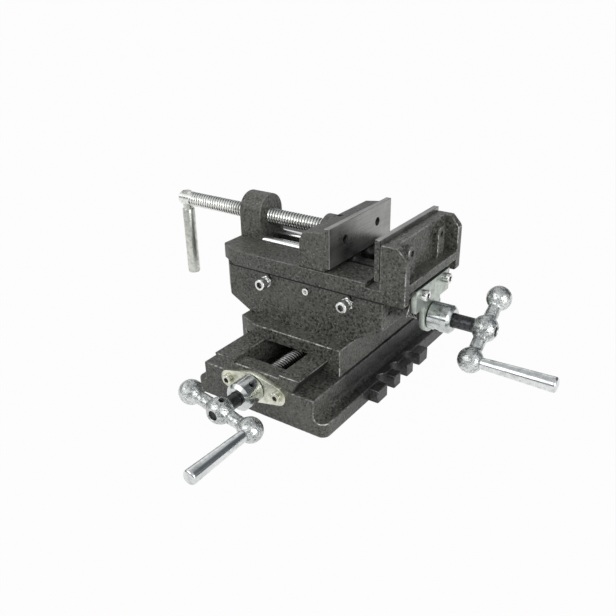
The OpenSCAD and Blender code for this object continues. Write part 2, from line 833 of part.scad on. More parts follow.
module fixed_jaw_solid() {
    half = jaw_w / 2;
    wall_back = fixed_back + fixed_wall_t;
    box([fixed_back, -half, bed_top - e], [wall_back, half, jaw_cast_top]);
    for (my = [0, 1]) mirror([0, my, 0]) along_y(-half, -half + web_t) web_profile();
    box([fixed_back, -half + 1, shelf_low], [body_right + web_out, half - 1, shelf_top]);
    for (side = [-1, 1]) {
        y = side * jaw_screw_pitch / 2;
        rod_x([wall_back - 1, y, jaw_screw_z], boss_out + 1, boss_d);
        box([wall_back - 1, y - boss_d / 2, shelf_top - 1], [wall_back + boss_out, y + boss_d / 2, jaw_screw_z]);
    }
}

module vise_body_casting() {
    half = jaw_w / 2;
    notch_x = fixed_face - 8;
    color(iron) translate([0, saddle_y, 0]) difference() {
        union() {
            translate([0, 0, x_way_z]) linear_extrude(bed_t) bed_plan();
            along_x(body_left + 2, body_right) dovetail(x_way_w, x_root_w, x_way_bottom, x_way_z + e);
            along_x(body_left, post_right) post_profile();
            fixed_jaw_solid();
        }
        box([post_right, -channel_w / 2, x_way_z + 4.5], [fixed_back, channel_w / 2, bed_top + 1]);
        box([notch_x, -half - 1, bed_top - 4], [fixed_back, half + 1, bed_top + 1]);
        rod_x([body_left - 1, 0, clamp_z], post_t + 2, clamp_d + 2 * run_gap);
        for (side = [-1, 1]) {
            rod_x([post_right - 16, side * rod_y, rod_z], 17, rod_d + 2 * set_gap);
            rod_x([fixed_back - 1, side * rod_y, rod_z], 9, rod_d + 2 * set_gap);
            rod_x([fixed_back - 1, side * jaw_screw_pitch / 2, jaw_screw_z], fixed_wall_t + boss_out + 2,
                jaw_screw_d + 2 * set_gap);
            rod_x([body_right - plate_screw_bite - 1, side * x_plate_screw_y, x_plate_screw_z],
                plate_screw_bite + 2, plate_screw_d + 2 * set_gap);
        }
    }
}

// The upper end plate: a rectangle with a rounded tab round the screw
module x_end_plate() {
    tab_r = 14.5;
    color(zinc) at_x_screw() translate([0, 0, -end_plate_t]) difference() {
        linear_extrude(end_plate_t) {
            translate([-x_plate_w / 2, x_plate_low - x_screw_z])
                square([x_plate_w, x_plate_top - x_plate_low]);
            translate([-tab_r, 0]) square([2 * tab_r, x_plate_low - x_screw_z + e]);
            circle(r = tab_r);
        }
        translate([0, 0, -1]) cylinder(d = shaft_d + 2 * run_gap, h = end_plate_t + 2);
        for (side = [-1, 1])
            translate([side * x_plate_screw_y, x_plate_screw_z - x_screw_z, -1])
                cylinder(d = plate_screw_d + 2 * set_gap, h = end_plate_t + 2);
    }
}

module x_end_plate_screws() {
    color(zinc) at_x_screw() for (side = [-1, 1])
        translate([side * x_plate_screw_y, x_plate_screw_z - x_screw_z, 0])
            cap_screw(plate_screw_d, end_plate_t + plate_screw_bite, plate_head_d, x_plate_head_h);
}

// A jaw plate whose working face lies at x = 0 and whose back lies at x = -plate_t
module jaw_plate() {
    half = jaw_w / 2;
    difference() {
        box([-plate_t, -half, plate_foot], [0, half, jaw_top]);
        for (side = [-1, 1])
            translate([-jaw_head_sink, side * jaw_screw_pitch / 2, jaw_screw_z]) rotate([0, 90, 0]) {
                flat_screw_hole(jaw_screw_d, jaw_head_d, plate_t + 2);
                cylinder(d = jaw_head_d + 2 * set_gap, h = jaw_head_sink + 1);
            }
    }
}

// The two flat-head screws of a jaw plate whose working face lies at x = 0
module jaw_screws() {
    for (side = [-1, 1])
        translate([-jaw_head_sink, side * jaw_screw_pitch / 2, jaw_screw_z]) rotate([0, 90, 0])
            flat_screw(jaw_screw_d, jaw_head_d, plate_t - jaw_head_sink + jaw_screw_bite);
}

module fixed_jaw_plate() {
    color(plate_grey) translate([fixed_face, saddle_y, 0]) mirror([1, 0, 0]) jaw_plate();
}

module fixed_jaw_screws() {
    color(black_steel) translate([fixed_face, saddle_y, 0]) mirror([1, 0, 0]) jaw_screws();
}

module guide_rods() {
    color(bright_steel) translate([0, saddle_y, 0]) for (side = [-1, 1])
        rod_x([post_right - 15.5, side * rod_y, rod_z], fixed_back + 7.5 - post_right + 15.5, rod_d);
}

// Upper feed screw, its collar and its crank

module x_feed_screw() {
    color(black_steel) at_x_screw() feed_screw(x_screw_len, x_hub_out);
}

module x_collar() {
    color(zinc) at_x_screw() rotate([0, 0, x_collar_turn]) collar();
}

module x_collar_set_screw() {
    color(black_steel) at_x_screw() rotate([0, 0, x_collar_turn]) collar_set_screw();
}

module at_x_crank() {
    at_x_screw() translate([0, 0, x_hub_out]) rotate([0, 0, x_crank_angle]) children();
}

module x_crank() {
    color(zinc) at_x_crank() three_ball_crank();
}

module x_crank_set_screw() {
    color(black_steel) at_x_crank() crank_set_screw();
}

module x_crank_grip() {
    color(zinc) at_x_crank() crank_grip();
}

// Moving jaw

// Outline of the moving jaw seen along Y, its top falling away to the back
module moving_profile() {
    foot = bed_top + slide_gap;
    polygon([
        [moving_back, foot], [moving_front, foot], [moving_front, jaw_cast_top],
        [moving_back + 5, jaw_cast_top - 3], [moving_back + 1.5, jaw_cast_top - 10]
    ]);
}

module moving_jaw_casting() {
    half = jaw_w / 2;
    tongue = channel_w / 2 - slide_gap;
    color(iron) translate([0, saddle_y, 0]) difference() {
        union() {
            along_y(-half, half) moving_profile();
            box([moving_back, -tongue, x_way_z + 5], [moving_front, tongue, bed_top + 2]);
            rod_x([moving_back - 4, 0, clamp_z], 8, 25);
        }
        rod_x([moving_back - 6, 0, clamp_z], clamp_tip - moving_back + 6.5, journal_d + 2 * run_gap);
        rod_z([groove_x, 0, clamp_z], 30, lock_screw_d + 2 * set_gap);
        for (side = [-1, 1]) {
            rod_x([moving_back - 1, side * rod_y, rod_z], moving_t + 2, rod_d + 2 * run_gap);
            rod_x([moving_front - jaw_screw_bite - 2, side * jaw_screw_pitch / 2, jaw_screw_z],
                jaw_screw_bite + 3, jaw_screw_d + 2 * set_gap);
        }
    }
}

module moving_jaw_plate() {
    color(plate_grey) translate([moving_face, saddle_y, 0]) jaw_plate();
}

module moving_jaw_screws() {
    color(black_steel) translate([moving_face, saddle_y, 0]) jaw_screws();
}

// A set screw from the jaw's top whose tip runs in the clamp screw's groove
module clamp_retaining_screw() {
    color(black_steel) translate([groove_x, saddle_y, clamp_z + groove_d / 2 + 0.3]) union() {
        cylinder(d = groove_w - 0.6, h = 3);
        translate([0, 0, 1.5]) set_screw(lock_screw_d, jaw_cast_top - clamp_z - groove_d / 2 - 5);
    }
}

module clamp_screw() {
    left = handle_x - 6.5;
    color(zinc) translate([0, saddle_y, clamp_z]) difference() {
        union() {
            rod_x([left + 1.5, 0, 0], clamp_journal - left - 1.5, clamp_d);
            translate([left, 0, 0]) rotate([0, 90, 0])
                cylinder(d1 = clamp_d - 3, d2 = clamp_d, h = 1.5);
            rod_x([clamp_journal - 1, 0, 0], groove_x - groove_w / 2 - clamp_journal + 1, journal_d);
            rod_x([groove_x - groove_w / 2 - 1, 0, 0], groove_w + 2, groove_d);
            rod_x([groove_x + groove_w / 2, 0, 0], clamp_tip - groove_x - groove_w / 2, journal_d);
        }
        rod_z([handle_x, 0, -clamp_d], 2 * clamp_d, neck_d + 2 * set_gap);
    }
}

module clamp_handle() {
    bar_top = -clamp_d / 2 - 3.5;
    chamfer = 1.5;
    color(zinc) translate([handle_x, saddle_y, clamp_z]) union() {
        rod_z([0, 0, bar_top - 1], clamp_d / 2 - bar_top + 1.3, neck_d);
        rod_z([0, 0, -handle_len + chamfer], bar_top + handle_len - chamfer, handle_d);
        translate([0, 0, -handle_len]) cylinder(d1 = handle_d - 2 * chamfer, d2 = handle_d, h = chamfer);
    }
}

base_casting();
y_end_plate();
y_end_plate_screws();
y_feed_screw();
y_collar();
y_collar_set_screw();
y_crank();
y_crank_set_screw();
y_crank_grip();
saddle_casting();
y_gib();
y_gib_screws();
y_gib_nuts();
y_feed_nut();
y_nut_screws();
x_gib();
x_gib_screws();
x_gib_nuts();
x_lock_screw();
x_feed_nut();
x_nut_screws();
vise_body_casting();
x_end_plate();
x_end_plate_screws();
fixed_jaw_plate();
fixed_jaw_screws();
guide_rods();
x_feed_screw();
x_collar();
x_collar_set_screw();
x_crank();
x_crank_set_screw();
x_crank_grip();
moving_jaw_casting();
moving_jaw_plate();
moving_jaw_screws();
clamp_retaining_screw();
clamp_screw();
clamp_handle();
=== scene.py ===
import math

import bmesh
import bpy
from mathutils import Matrix, Vector, geometry


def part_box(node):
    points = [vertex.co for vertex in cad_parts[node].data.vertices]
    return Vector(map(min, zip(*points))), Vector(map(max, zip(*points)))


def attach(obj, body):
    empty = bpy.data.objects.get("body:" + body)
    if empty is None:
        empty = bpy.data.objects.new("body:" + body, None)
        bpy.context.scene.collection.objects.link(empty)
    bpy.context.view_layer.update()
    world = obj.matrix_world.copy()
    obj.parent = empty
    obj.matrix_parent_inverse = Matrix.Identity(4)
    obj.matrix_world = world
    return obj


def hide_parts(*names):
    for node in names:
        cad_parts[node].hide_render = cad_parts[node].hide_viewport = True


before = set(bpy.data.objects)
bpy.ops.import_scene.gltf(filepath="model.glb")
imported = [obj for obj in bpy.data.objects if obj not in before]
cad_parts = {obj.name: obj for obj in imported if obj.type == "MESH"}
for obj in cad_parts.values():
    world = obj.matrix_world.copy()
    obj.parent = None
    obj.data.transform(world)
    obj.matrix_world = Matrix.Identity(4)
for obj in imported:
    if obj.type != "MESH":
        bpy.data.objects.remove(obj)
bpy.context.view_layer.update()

# The camera stands in front of the vise, to the right and above, as in the photograph.
# It is a normal lens on a square frame, tipped by about one degree.
FRAME_PIXELS = 616
FOCAL_PIXELS = 702.63
SENSOR = 36.0
AZIMUTH = math.radians(35.51)
ELEVATION = math.radians(25.82)
ROLL = math.radians(-1.18)
DISTANCE = 0.65526
TARGET = Vector((-0.02065, -0.00952, 0.05024))

back = Vector((
    math.sin(AZIMUTH) * math.cos(ELEVATION),
    -math.cos(AZIMUTH) * math.cos(ELEVATION),
    math.sin(ELEVATION),
))
right = Vector((math.cos(AZIMUTH), math.sin(AZIMUTH), 0.0))
up = back.cross(right)
tipped_right = right * math.cos(ROLL) + up * math.sin(ROLL)
tipped_up = up * math.cos(ROLL) - right * math.sin(ROLL)

camera_data = bpy.data.cameras.new("camera")
camera_data.sensor_width = SENSOR
camera_data.lens = SENSOR * FOCAL_PIXELS / FRAME_PIXELS
camera_data.clip_start = 0.01
camera = bpy.data.objects.new("camera", camera_data)
bpy.context.scene.collection.objects.link(camera)
camera.matrix_world = (
    Matrix.Translation(TARGET + back * DISTANCE)
    @ Matrix((tipped_right, tipped_up, back)).transposed().to_4x4()
)
bpy.context.scene.camera = camera
bpy.context.scene.view_settings.view_transform = "Standard"

# The studio is a wide floor under a white sky, with a dim band along the horizon and a dim corner behind.
# The floor looks white but throws little light back, and two large soft lamps stand at the camera's side.
FLOOR_HALF = 14.0
FLOOR_TONE = (0.30, 0.30, 0.30, 1.0)
FLOOR_GLOW = 0.975
SKY_LIGHT = 0.86
SKY_TOP = (0.58, 0.595, 0.60, 1.0)
SKY_BAND = (0.12, 0.13, 0.145, 1.0)
SKY_CORNER = (0.458, 0.763, 0.458)
SKY_SIDE = (1.0, 1.0, 1.0, 1.0)
BAND_EDGE = (0.16, 0.40)
TOP_EDGE = (0.52, 0.92)
CORNER_EDGE = (0.76, 0.93)
LAMPS = (
    ("key_lamp", (-0.9, -1.9, 1.5), 2.2, 14.0),
    ("side_lamp", (2.1, -0.85, 0.62), 1.2, 18.0),
)


def linked(tree, kind, values=None, **inputs):
    """A new node in a tree, with its settings, and its inputs set or joined by name."""
    node = tree.nodes.new(kind)
    for setting, value in (values or {}).items():
        setattr(node, setting, value)
    for name, value in inputs.items():
        socket = node.inputs[int(name[1:])] if name[0] == "_" else node.inputs[name.replace("_", " ")]
        if isinstance(value, bpy.types.NodeSocket):
            tree.links.new(value, socket)
        else:
            socket.default_value = value
    return node


def mapped_range(tree, value, low, high, to_low=0.0, to_high=1.0):
    """A value taken from one range to another, with soft ends."""
    node = linked(tree, "ShaderNodeMapRange", {"interpolation_type": "SMOOTHSTEP"}, Value=value, From_Min=low,
                  From_Max=high, To_Min=to_low, To_Max=to_high)
    return node.outputs["Result"]


def calculated(tree, operation, first, second):
    """One step of arithmetic between two values."""
    return linked(tree, "ShaderNodeMath", {"operation": operation}, _0=first, _1=second).outputs[0]


def blended(tree, factor, first, second, how="MIX"):
    """Two colours blended by a mask."""
    kind = {"data_type": "RGBA", "blend_type": how}
    return linked(tree, "ShaderNodeMix", kind, Factor=factor, _6=first, _7=second).outputs[2]


def seen_rays(tree):
    """One where the ray comes from the camera, a reflection or glass, and zero where it lights the vise."""
    path = linked(tree, "ShaderNodeLightPath").outputs
    seen = calculated(tree, "MAXIMUM", path["Is Camera Ray"], path["Is Glossy Ray"])
    return calculated(tree, "MAXIMUM", seen, path["Is Transmission Ray"]), path["Is Camera Ray"]


world = bpy.data.worlds.new("studio")
world.use_nodes = True
bpy.context.scene.world = world
sky = world.node_tree
sky.nodes.clear()
direction = linked(sky, "ShaderNodeTexCoord").outputs["Generated"]
height = linked(sky, "ShaderNodeSeparateXYZ", Vector=direction).outputs["Z"]
upper = blended(sky, mapped_range(sky, height, *TOP_EDGE), SKY_SIDE, SKY_TOP)
banded = blended(sky, mapped_range(sky, height, *BAND_EDGE), SKY_BAND, upper)
towards = linked(sky, "ShaderNodeVectorMath", {"operation": "DOT_PRODUCT"}, _0=direction, _1=SKY_CORNER)
faded = blended(sky, mapped_range(sky, towards.outputs["Value"], *CORNER_EDGE), banded, SKY_BAND)
seen, by_camera = seen_rays(sky)
strength = linked(sky, "ShaderNodeMapRange", Value=seen, To_Min=SKY_LIGHT, To_Max=1.0).outputs["Result"]
shown = blended(sky, by_camera, faded, SKY_SIDE)
glow = linked(sky, "ShaderNodeBackground", Color=shown, Strength=strength)
linked(sky, "ShaderNodeOutputWorld", Surface=glow.outputs["Background"])

floor_shape = bmesh.new()
bmesh.ops.create_grid(floor_shape, x_segments=1, y_segments=1, size=FLOOR_HALF)
floor_mesh = bpy.data.meshes.new("floor")
floor_shape.to_mesh(floor_mesh)
floor_shape.free()
floor = bpy.data.objects.new("floor", floor_mesh)
bpy.context.scene.collection.objects.link(floor)
floor_paint = bpy.data.materials.new("floor_white")
floor_paint.use_nodes = True
tree = floor_paint.node_tree
tree.nodes.clear()
matt = linked(tree, "ShaderNodeBsdfDiffuse", Color=FLOOR_TONE)
light = linked(tree, "ShaderNodeEmission", Color=SKY_SIDE, Strength=1.0)
seen, _ = seen_rays(tree)
share = calculated(tree, "MULTIPLY", seen, FLOOR_GLOW)
both = linked(tree, "ShaderNodeMixShader", _0=share, _1=matt.outputs[0], _2=light.outputs[0])
linked(tree, "ShaderNodeOutputMaterial", Surface=both.outputs[0])
floor_mesh.materials.append(floor_paint)

for name, place, size, power in LAMPS:
    lamp_data = bpy.data.lights.new(name, "AREA")
    lamp_data.shape = "DISK"
    lamp_data.size = size
    lamp_data.energy = power
    lamp = bpy.data.objects.new(name, lamp_data)
    bpy.context.scene.collection.objects.link(lamp)
    lamp.location = place
    lamp.rotation_mode = "QUATERNION"
    lamp.rotation_quaternion = (TARGET - Vector(place)).to_track_quat("-Z", "Y")

# The base is a grey iron casting, sprayed with dark hammered paint after its ways were planed.
# It keeps the CAD casting's form, with rounded edges where the paint is rubbed thin, and painted shade that
# darkens its lower sides.
MM = 0.001
MERGE = 1e-6
PAINT_DARK = (0.004, 0.0042, 0.0035, 1.0)
PAINT_LIGHT = (0.130, 0.131, 0.114, 1.0)
PAINT_FLAKE = (0.30, 0.30, 0.28, 1.0)
BARE_IRON = (0.46, 0.46, 0.44, 1.0)
OILED_IRON = (0.036, 0.037, 0.036, 1.0)
# The tint and the reach of the painted shade on the base's lower sides, in metres.
SIDE_SHADE_TINT = (0.34, 0.34, 0.37, 1.0)
SIDE_SHADE_ASIDE = (0.036, 0.044)
SIDE_SHADE_BELOW = (0.031, 0.036)
SIDE_SHADE_FRONT = (-0.108, -0.048)
SIDE_SHADE_BACK = (0.092, 0.112)
SMOOTH_ANGLE = math.radians(32)
FLAT_ANGLE = math.radians(0.6)
SHARP = math.radians(28)
SHORT_EDGE = 0.7 * MM
ROUND_STEPS = 3
ROUND_TRIES = 6
PARALLEL = 1e-14
BASE_ROUND = 0.9 * MM
WAY_FOOT = 32.5
WAY_INSIDE = 30.0
WAY_EDGE = 0.6
LEVEL = 0.95
COAT_OUTPUTS = {"Color": "Color", "Roughness": "Float", "Height": "Float"}


def new_group(name, ins, outs):
    """An empty shader node group with named sockets; ins give a kind and a value each."""
    group = bpy.data.node_groups.new(name, "ShaderNodeTree")
    for label, (kind, value) in ins.items():
        socket = group.interface.new_socket(label, in_out="INPUT", socket_type="NodeSocket" + kind)
        socket.default_value = value
    for label, kind in outs.items():
        group.interface.new_socket(label, in_out="OUTPUT", socket_type="NodeSocket" + kind)
    return group, group.nodes.new("NodeGroupInput").outputs, group.nodes.new("NodeGroupOutput").inputs


def use_group(tree, group, **inputs):
    """A group placed in a material's tree."""
    return linked(tree, "ShaderNodeGroup", {"node_tree": group}, **inputs)


def noise(tree, place, scale, detail=3.0, roughness=0.55):
    """Cloudy noise at a scale in features for each metre."""
    node = linked(tree, "ShaderNodeTexNoise", Vector=place, Scale=scale, Detail=detail, Roughness=roughness)
    return node.outputs["Fac"]


def object_place(tree):
    """The place on the piece, in metres of the vise's own frame."""
    return linked(tree, "ShaderNodeTexCoord").outputs["Object"]


def edge_wear_group():
    """Where a rounded edge has lost its finish: rubbed patches along the edges marked as worn."""
    group, _, outs = new_group("edge_wear", {}, {"Worn": "Float"})
    place = object_place(group)
    edge = linked(group, "ShaderNodeAttribute", {"attribute_name": "worn_edge"}).outputs["Fac"]
    patches = mapped_range(group, noise(group, place, 60.0, 2.0), 0.34, 0.58)
    nicks = mapped_range(group, noise(group, place, 420.0, 3.0), 0.36, 0.56)
    rubbed = calculated(group, "MULTIPLY", patches, nicks)
    group.links.new(calculated(group, "MULTIPLY", rubbed, edge), outs["Worn"])
    return group


def hammered_paint_group():
    """Hammered paint: dimples two or three millimetres wide, metal flakes, and clouds in the coat."""
    group, _, outs = new_group("hammered_paint", {}, COAT_OUTPUTS)
    place = object_place(group)
    bent = linked(group, "ShaderNodeTexNoise", Vector=place, Scale=300.0, Detail=2.0).outputs["Color"]
    wobble = linked(group, "ShaderNodeVectorMath", {"operation": "MULTIPLY_ADD"}, _0=bent, _1=(0.0022,) * 3,
                    _2=place).outputs[0]
    cells = linked(group, "ShaderNodeTexVoronoi", {"feature": "SMOOTH_F1"}, Vector=wobble, Scale=360.0,
                   Smoothness=0.35).outputs["Distance"]
    flakes = linked(group, "ShaderNodeTexVoronoi", Vector=place, Scale=900.0).outputs["Color"]
    flake = linked(group, "ShaderNodeSeparateColor", Color=flakes).outputs["Red"]
    clouds = noise(group, place, 24.0, 4.0)
    grain = noise(group, place, 520.0, 3.0, 0.6)
    tone = calculated(group, "MULTIPLY", mapped_range(group, cells, 0.12, 0.60), 0.58)
    tone = calculated(group, "ADD", tone, mapped_range(group, grain, 0.475, 0.59, 0.0, 0.60))
    tone = calculated(group, "ADD", tone, mapped_range(group, clouds, 0.35, 0.70, -0.16, 0.14))
    painted = blended(group, tone, PAINT_DARK, PAINT_LIGHT)
    sparkle = mapped_range(group, flake, 0.90, 0.99, 0.0, 0.60)
    group.links.new(blended(group, sparkle, painted, PAINT_FLAKE), outs["Color"])
    group.links.new(mapped_range(group, grain, 0.3, 0.7, 0.32, 0.54), outs["Roughness"])
    pebbles = calculated(group, "MULTIPLY", grain, 0.5)
    group.links.new(calculated(group, "ADD", cells, pebbles), outs["Height"])
    return group


EDGE_WEAR = edge_wear_group()
HAMMERED_PAINT = hammered_paint_group()


def new_material(name):
    """A material with an empty tree, its Principled shader and its output."""
    material = bpy.data.materials.new(name)
    material.use_nodes = True
    material.node_tree.nodes.clear()
    shader = material.node_tree.nodes.new("ShaderNodeBsdfPrincipled")
    linked(material.node_tree, "ShaderNodeOutputMaterial", Surface=shader.outputs["BSDF"])
    return material, material.node_tree, shader


def bumped(tree, shader, height, depth):
    """Gives a shader its relief, with the depth in metres."""
    relief = linked(tree, "ShaderNodeBump", Strength=1.0, Distance=depth, Height=height)
    tree.links.new(relief.outputs["Normal"], shader.inputs["Normal"])


def painted_side_shade(tree):
    """Painted shade: a mask that darkens the base's lower sides, flanges and lugs, clear of both ends."""
    spot = linked(tree, "ShaderNodeSeparateXYZ", Vector=object_place(tree)).outputs
    aside = mapped_range(tree, calculated(tree, "ABSOLUTE", spot["X"], 0.0), *SIDE_SHADE_ASIDE)
    below = mapped_range(tree, spot["Z"], *SIDE_SHADE_BELOW, 1.0, 0.0)
    from_front = mapped_range(tree, spot["Y"], *SIDE_SHADE_FRONT)
    to_back = mapped_range(tree, spot["Y"], *SIDE_SHADE_BACK, 1.0, 0.0)
    along = calculated(tree, "MULTIPLY", from_front, to_back)
    return calculated(tree, "MULTIPLY", calculated(tree, "MULTIPLY", aside, below), along)


def casting_paint(name, shade_painted=False):
    """Hammered paint with the iron showing along the worn edges, and painted shade on the base's lower sides
    if asked for.
    """
    material, tree, shader = new_material(name)
    coat = use_group(tree, HAMMERED_PAINT)
    worn = use_group(tree, EDGE_WEAR).outputs["Worn"]
    colour = blended(tree, worn, coat.outputs["Color"], BARE_IRON)
    # Painted shade darkens the base's lower sides, flanges and lugs by this mask.
    if shade_painted:
        colour = blended(tree, painted_side_shade(tree), colour, SIDE_SHADE_TINT, "MULTIPLY")
    tree.links.new(colour, shader.inputs["Base Color"])
    rough = mapped_range(tree, worn, 0.0, 1.0, 0.0, -0.12)
    tree.links.new(calculated(tree, "ADD", coat.outputs["Roughness"], rough), shader.inputs["Roughness"])
    tree.links.new(calculated(tree, "MULTIPLY", worn, 0.8), shader.inputs["Metallic"])
    bumped(tree, shader, coat.outputs["Height"], 0.00022)
    return material


def scratches(tree, along, fine=900.0, long=14.0):
    """Fine lines that run along one axis of the vise."""
    stretch = [fine, fine, fine]
    stretch["xyz".index(along)] = long
    lines = linked(tree, "ShaderNodeMapping", Vector=object_place(tree), Scale=stretch).outputs["Vector"]
    return noise(tree, lines, 1.0, 2.0)


def machined_iron(name, colour, along):
    """Planed iron with an oily film: fine lines that run along one axis."""
    material, tree, shader = new_material(name)
    cut = scratches(tree, along)
    film = noise(tree, object_place(tree), 30.0, 4.0)
    light = tuple(1.9 * c for c in colour[:3]) + (1.0,)
    tone = calculated(tree, "ADD", mapped_range(tree, cut, 0.3, 0.7, 0.0, 0.5),
                      mapped_range(tree, film, 0.4, 0.7, 0.0, 0.5))
    tree.links.new(blended(tree, tone, colour, light), shader.inputs["Base Color"])
    tree.links.new(mapped_range(tree, film, 0.3, 0.7, 0.30, 0.48), shader.inputs["Roughness"])
    shader.inputs["Metallic"].default_value = 0.35
    bumped(tree, shader, cut, 0.00003)
    return material


def plain_copy(node):
    """A bmesh of a CAD node's triangles, joined into one skin with its flat faces whole."""
    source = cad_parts[node].data
    shape = bmesh.new()
    points = [shape.verts.new(v.co) for v in source.vertices]
    for face in source.polygons:
        shape.faces.new([points[i] for i in face.vertices])
    bmesh.ops.remove_doubles(shape, verts=shape.verts, dist=MERGE)
    bmesh.ops.dissolve_limit(shape, angle_limit=FLAT_ANGLE, verts=shape.verts, edges=shape.edges)
    return shape


def crossings(face):
    """The points where the outline of a flat face runs across itself."""
    corners = [vert.co for vert in face.verts]
    sides = list(zip(corners, corners[1:] + corners[:1]))
    found = []
    for first, (a, b) in enumerate(sides):
        for c, d in sides[first + 2:len(sides) - (first == 0)]:
            turn = (b - a).cross(d - c).dot(face.normal)
            if abs(turn) > PARALLEL:
                along = (c - a).cross(d - c).dot(face.normal) / turn
                back_along = (c - a).cross(b - a).dot(face.normal) / turn
                if 0.0 < along < 1.0 and 0.0 < back_along < 1.0:
                    found.append(a + (b - a) * along)
    return found


def rounded(shape, radius):
    """Rounds the sharp outward edges of a bmesh and marks the new faces as worn.

    Where the rounds of two edges run into each other, those edges stay sharp."""
    source = shape.faces.layers.int.new("source")
    shape.faces.layers.float.new("worn_edge")
    for number, face in enumerate(shape.faces):
        face[source] = number
    shape.edges.ensure_lookup_table()
    shape.faces.ensure_lookup_table()
    sharp = {
        edge.index for edge in shape.edges
        if len(edge.link_faces) == 2 and edge.is_convex and edge.calc_face_angle(0.0) > SHARP
        and edge.calc_length() > SHORT_EDGE
    }
    for _ in range(ROUND_TRIES):
        trial = shape.copy()
        trial.edges.ensure_lookup_table()
        flats = trial.faces.layers.int["source"]
        worn = trial.faces.layers.float["worn_edge"]
        made = bmesh.ops.bevel(
            trial, geom=[trial.edges[i] for i in sharp], offset=radius, offset_type="OFFSET",
            segments=ROUND_STEPS, profile=0.5, affect="EDGES", clamp_overlap=False, material=-1,
        )
        for face in made["faces"]:
            face[worn] = 1.0
        crowded = set()
        for face in trial.faces:
            if face[worn] == 0.0:
                for spot in crossings(face):
                    for edge in shape.faces[face[flats]].edges:
                        near = geometry.intersect_point_line(spot, edge.verts[0].co, edge.verts[1].co)
                        along = min(max(near[1], 0.0), 1.0)
                        nearest = edge.verts[0].co.lerp(edge.verts[1].co, along)
                        if (nearest - spot).length < 2.0 * radius:
                            crowded.add(edge.index)
        if not crowded & sharp:
            break
        sharp -= crowded
        trial.free()
    shape.free()
    bmesh.ops.dissolve_degenerate(trial, dist=MERGE, edges=trial.edges)
    return trial


def finished(name, shape, body, materials, nodes, weighted=False):
    """Makes a piece from a bmesh: mesh, materials, smooth shading, its body, and the CAD nodes it replaces
    hidden.
    """
    mesh = bpy.data.meshes.new(name)
    shape.to_mesh(mesh)
    shape.free()
    for polygon in mesh.polygons:
        polygon.use_smooth = True
    mesh.set_sharp_from_angle(angle=SMOOTH_ANGLE)
    for material in materials:
        mesh.materials.append(material)
    piece = bpy.data.objects.new(name, mesh)
    bpy.context.scene.collection.objects.link(piece)
    if weighted:
        weigh = piece.modifiers.new("weighted_normals", "WEIGHTED_NORMAL")
        weigh.keep_sharp = True
        weigh.weight = 100
    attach(piece, body)
    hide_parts(*nodes)
    return piece


def paint_faces(shape, index, chosen):
    """Gives a second finish to the faces that a test picks by centre and normal, in millimetres."""
    for face in shape.faces:
        if chosen(face.calc_center_median() / MM, face.normal):
            face.material_index = index


def fade_wear(shape, share, chosen):
    """Leaves a share of the wear on the rounded edges that a test picks by centre, in millimetres."""
    worn = shape.faces.layers.float["worn_edge"]
    for face in shape.faces:
        if chosen(face.calc_center_median() / MM):
            face[worn] *= share


GREY_PAINT = casting_paint("hammered_grey")
# The base's paint carries painted shade on its lower sides.
BASE_PAINT = casting_paint("hammered_grey_side_shade", shade_painted=True)
OILED_WAYS_Y = machined_iron("oiled_ways_y", OILED_IRON, "y")

way_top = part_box("base_casting")[1].z / MM - WAY_EDGE
base_shape = rounded(plain_copy("base_casting"), BASE_ROUND)
paint_faces(base_shape, 1,
            lambda c, n: abs(n.z) < LEVEL and WAY_FOOT < c.z < way_top and abs(c.x) > WAY_INSIDE)
finished("base_casting_painted", base_shape, "base", [BASE_PAINT, OILED_WAYS_Y],
         ["base_casting"], weighted=True)

# The front end plate is a steel lozenge with yellowish zinc plating, which carries the lower feed screw.
# Two socket screws with low round heads hold it on the base's front wall.
YELLOW_BRIGHT = (0.76, 0.765, 0.66, 1.0)
YELLOW_DULL = (0.42, 0.43, 0.345, 1.0)
Y_SCREW = Matrix.Translation((0.0, -0.119, 0.028)) @ Matrix.Rotation(math.pi / 2, 4, "X")
Y_PLATE_SCREW = 25.3
PLATE_ROUND = 0.45 * MM
PLATE_SCREW_D = 5.0
PLATE_SCREW_BITE = 15.0
PLATE_HEAD_D = 9.0
Y_HEAD_HIGH = 3.5
SOCKET_FLATS = 4.0
HEX_STEPS = 48
HEX_NEAR = 0.001


def plating_group():
    """Zinc plating: pale clouds, a fine crystal grain and small dull pits."""
    group, ins, outs = new_group(
        "zinc_plating",
        {"Bright": ("Color", (0.8, 0.8, 0.8, 1.0)), "Dull": ("Color", (0.5, 0.5, 0.5, 1.0)),
         "Rough": ("Float", 0.3), "Grain": ("Float", 400.0)},
        COAT_OUTPUTS,
    )
    place = object_place(group)
    clouds = noise(group, place, 70.0, 3.0)
    grain = noise(group, place, ins["Grain"], 4.0, 0.6)
    pits = mapped_range(group, noise(group, place, 1100.0, 2.0), 0.58, 0.70)
    tone = calculated(group, "ADD", mapped_range(group, clouds, 0.38, 0.68, 0.0, 0.40),
                      mapped_range(group, grain, 0.46, 0.64, 0.0, 0.60))
    tone = calculated(group, "ADD", tone, calculated(group, "MULTIPLY", pits, 0.35))
    group.links.new(blended(group, tone, ins["Bright"], ins["Dull"]), outs["Color"])
    uneven = mapped_range(group, grain, 0.35, 0.70, -0.06, 0.12)
    group.links.new(calculated(group, "ADD", ins["Rough"], uneven), outs["Roughness"])
    hollows = calculated(group, "MULTIPLY", pits, 0.4)
    group.links.new(calculated(group, "SUBTRACT", grain, hollows), outs["Height"])
    return group


ZINC_PLATING = plating_group()


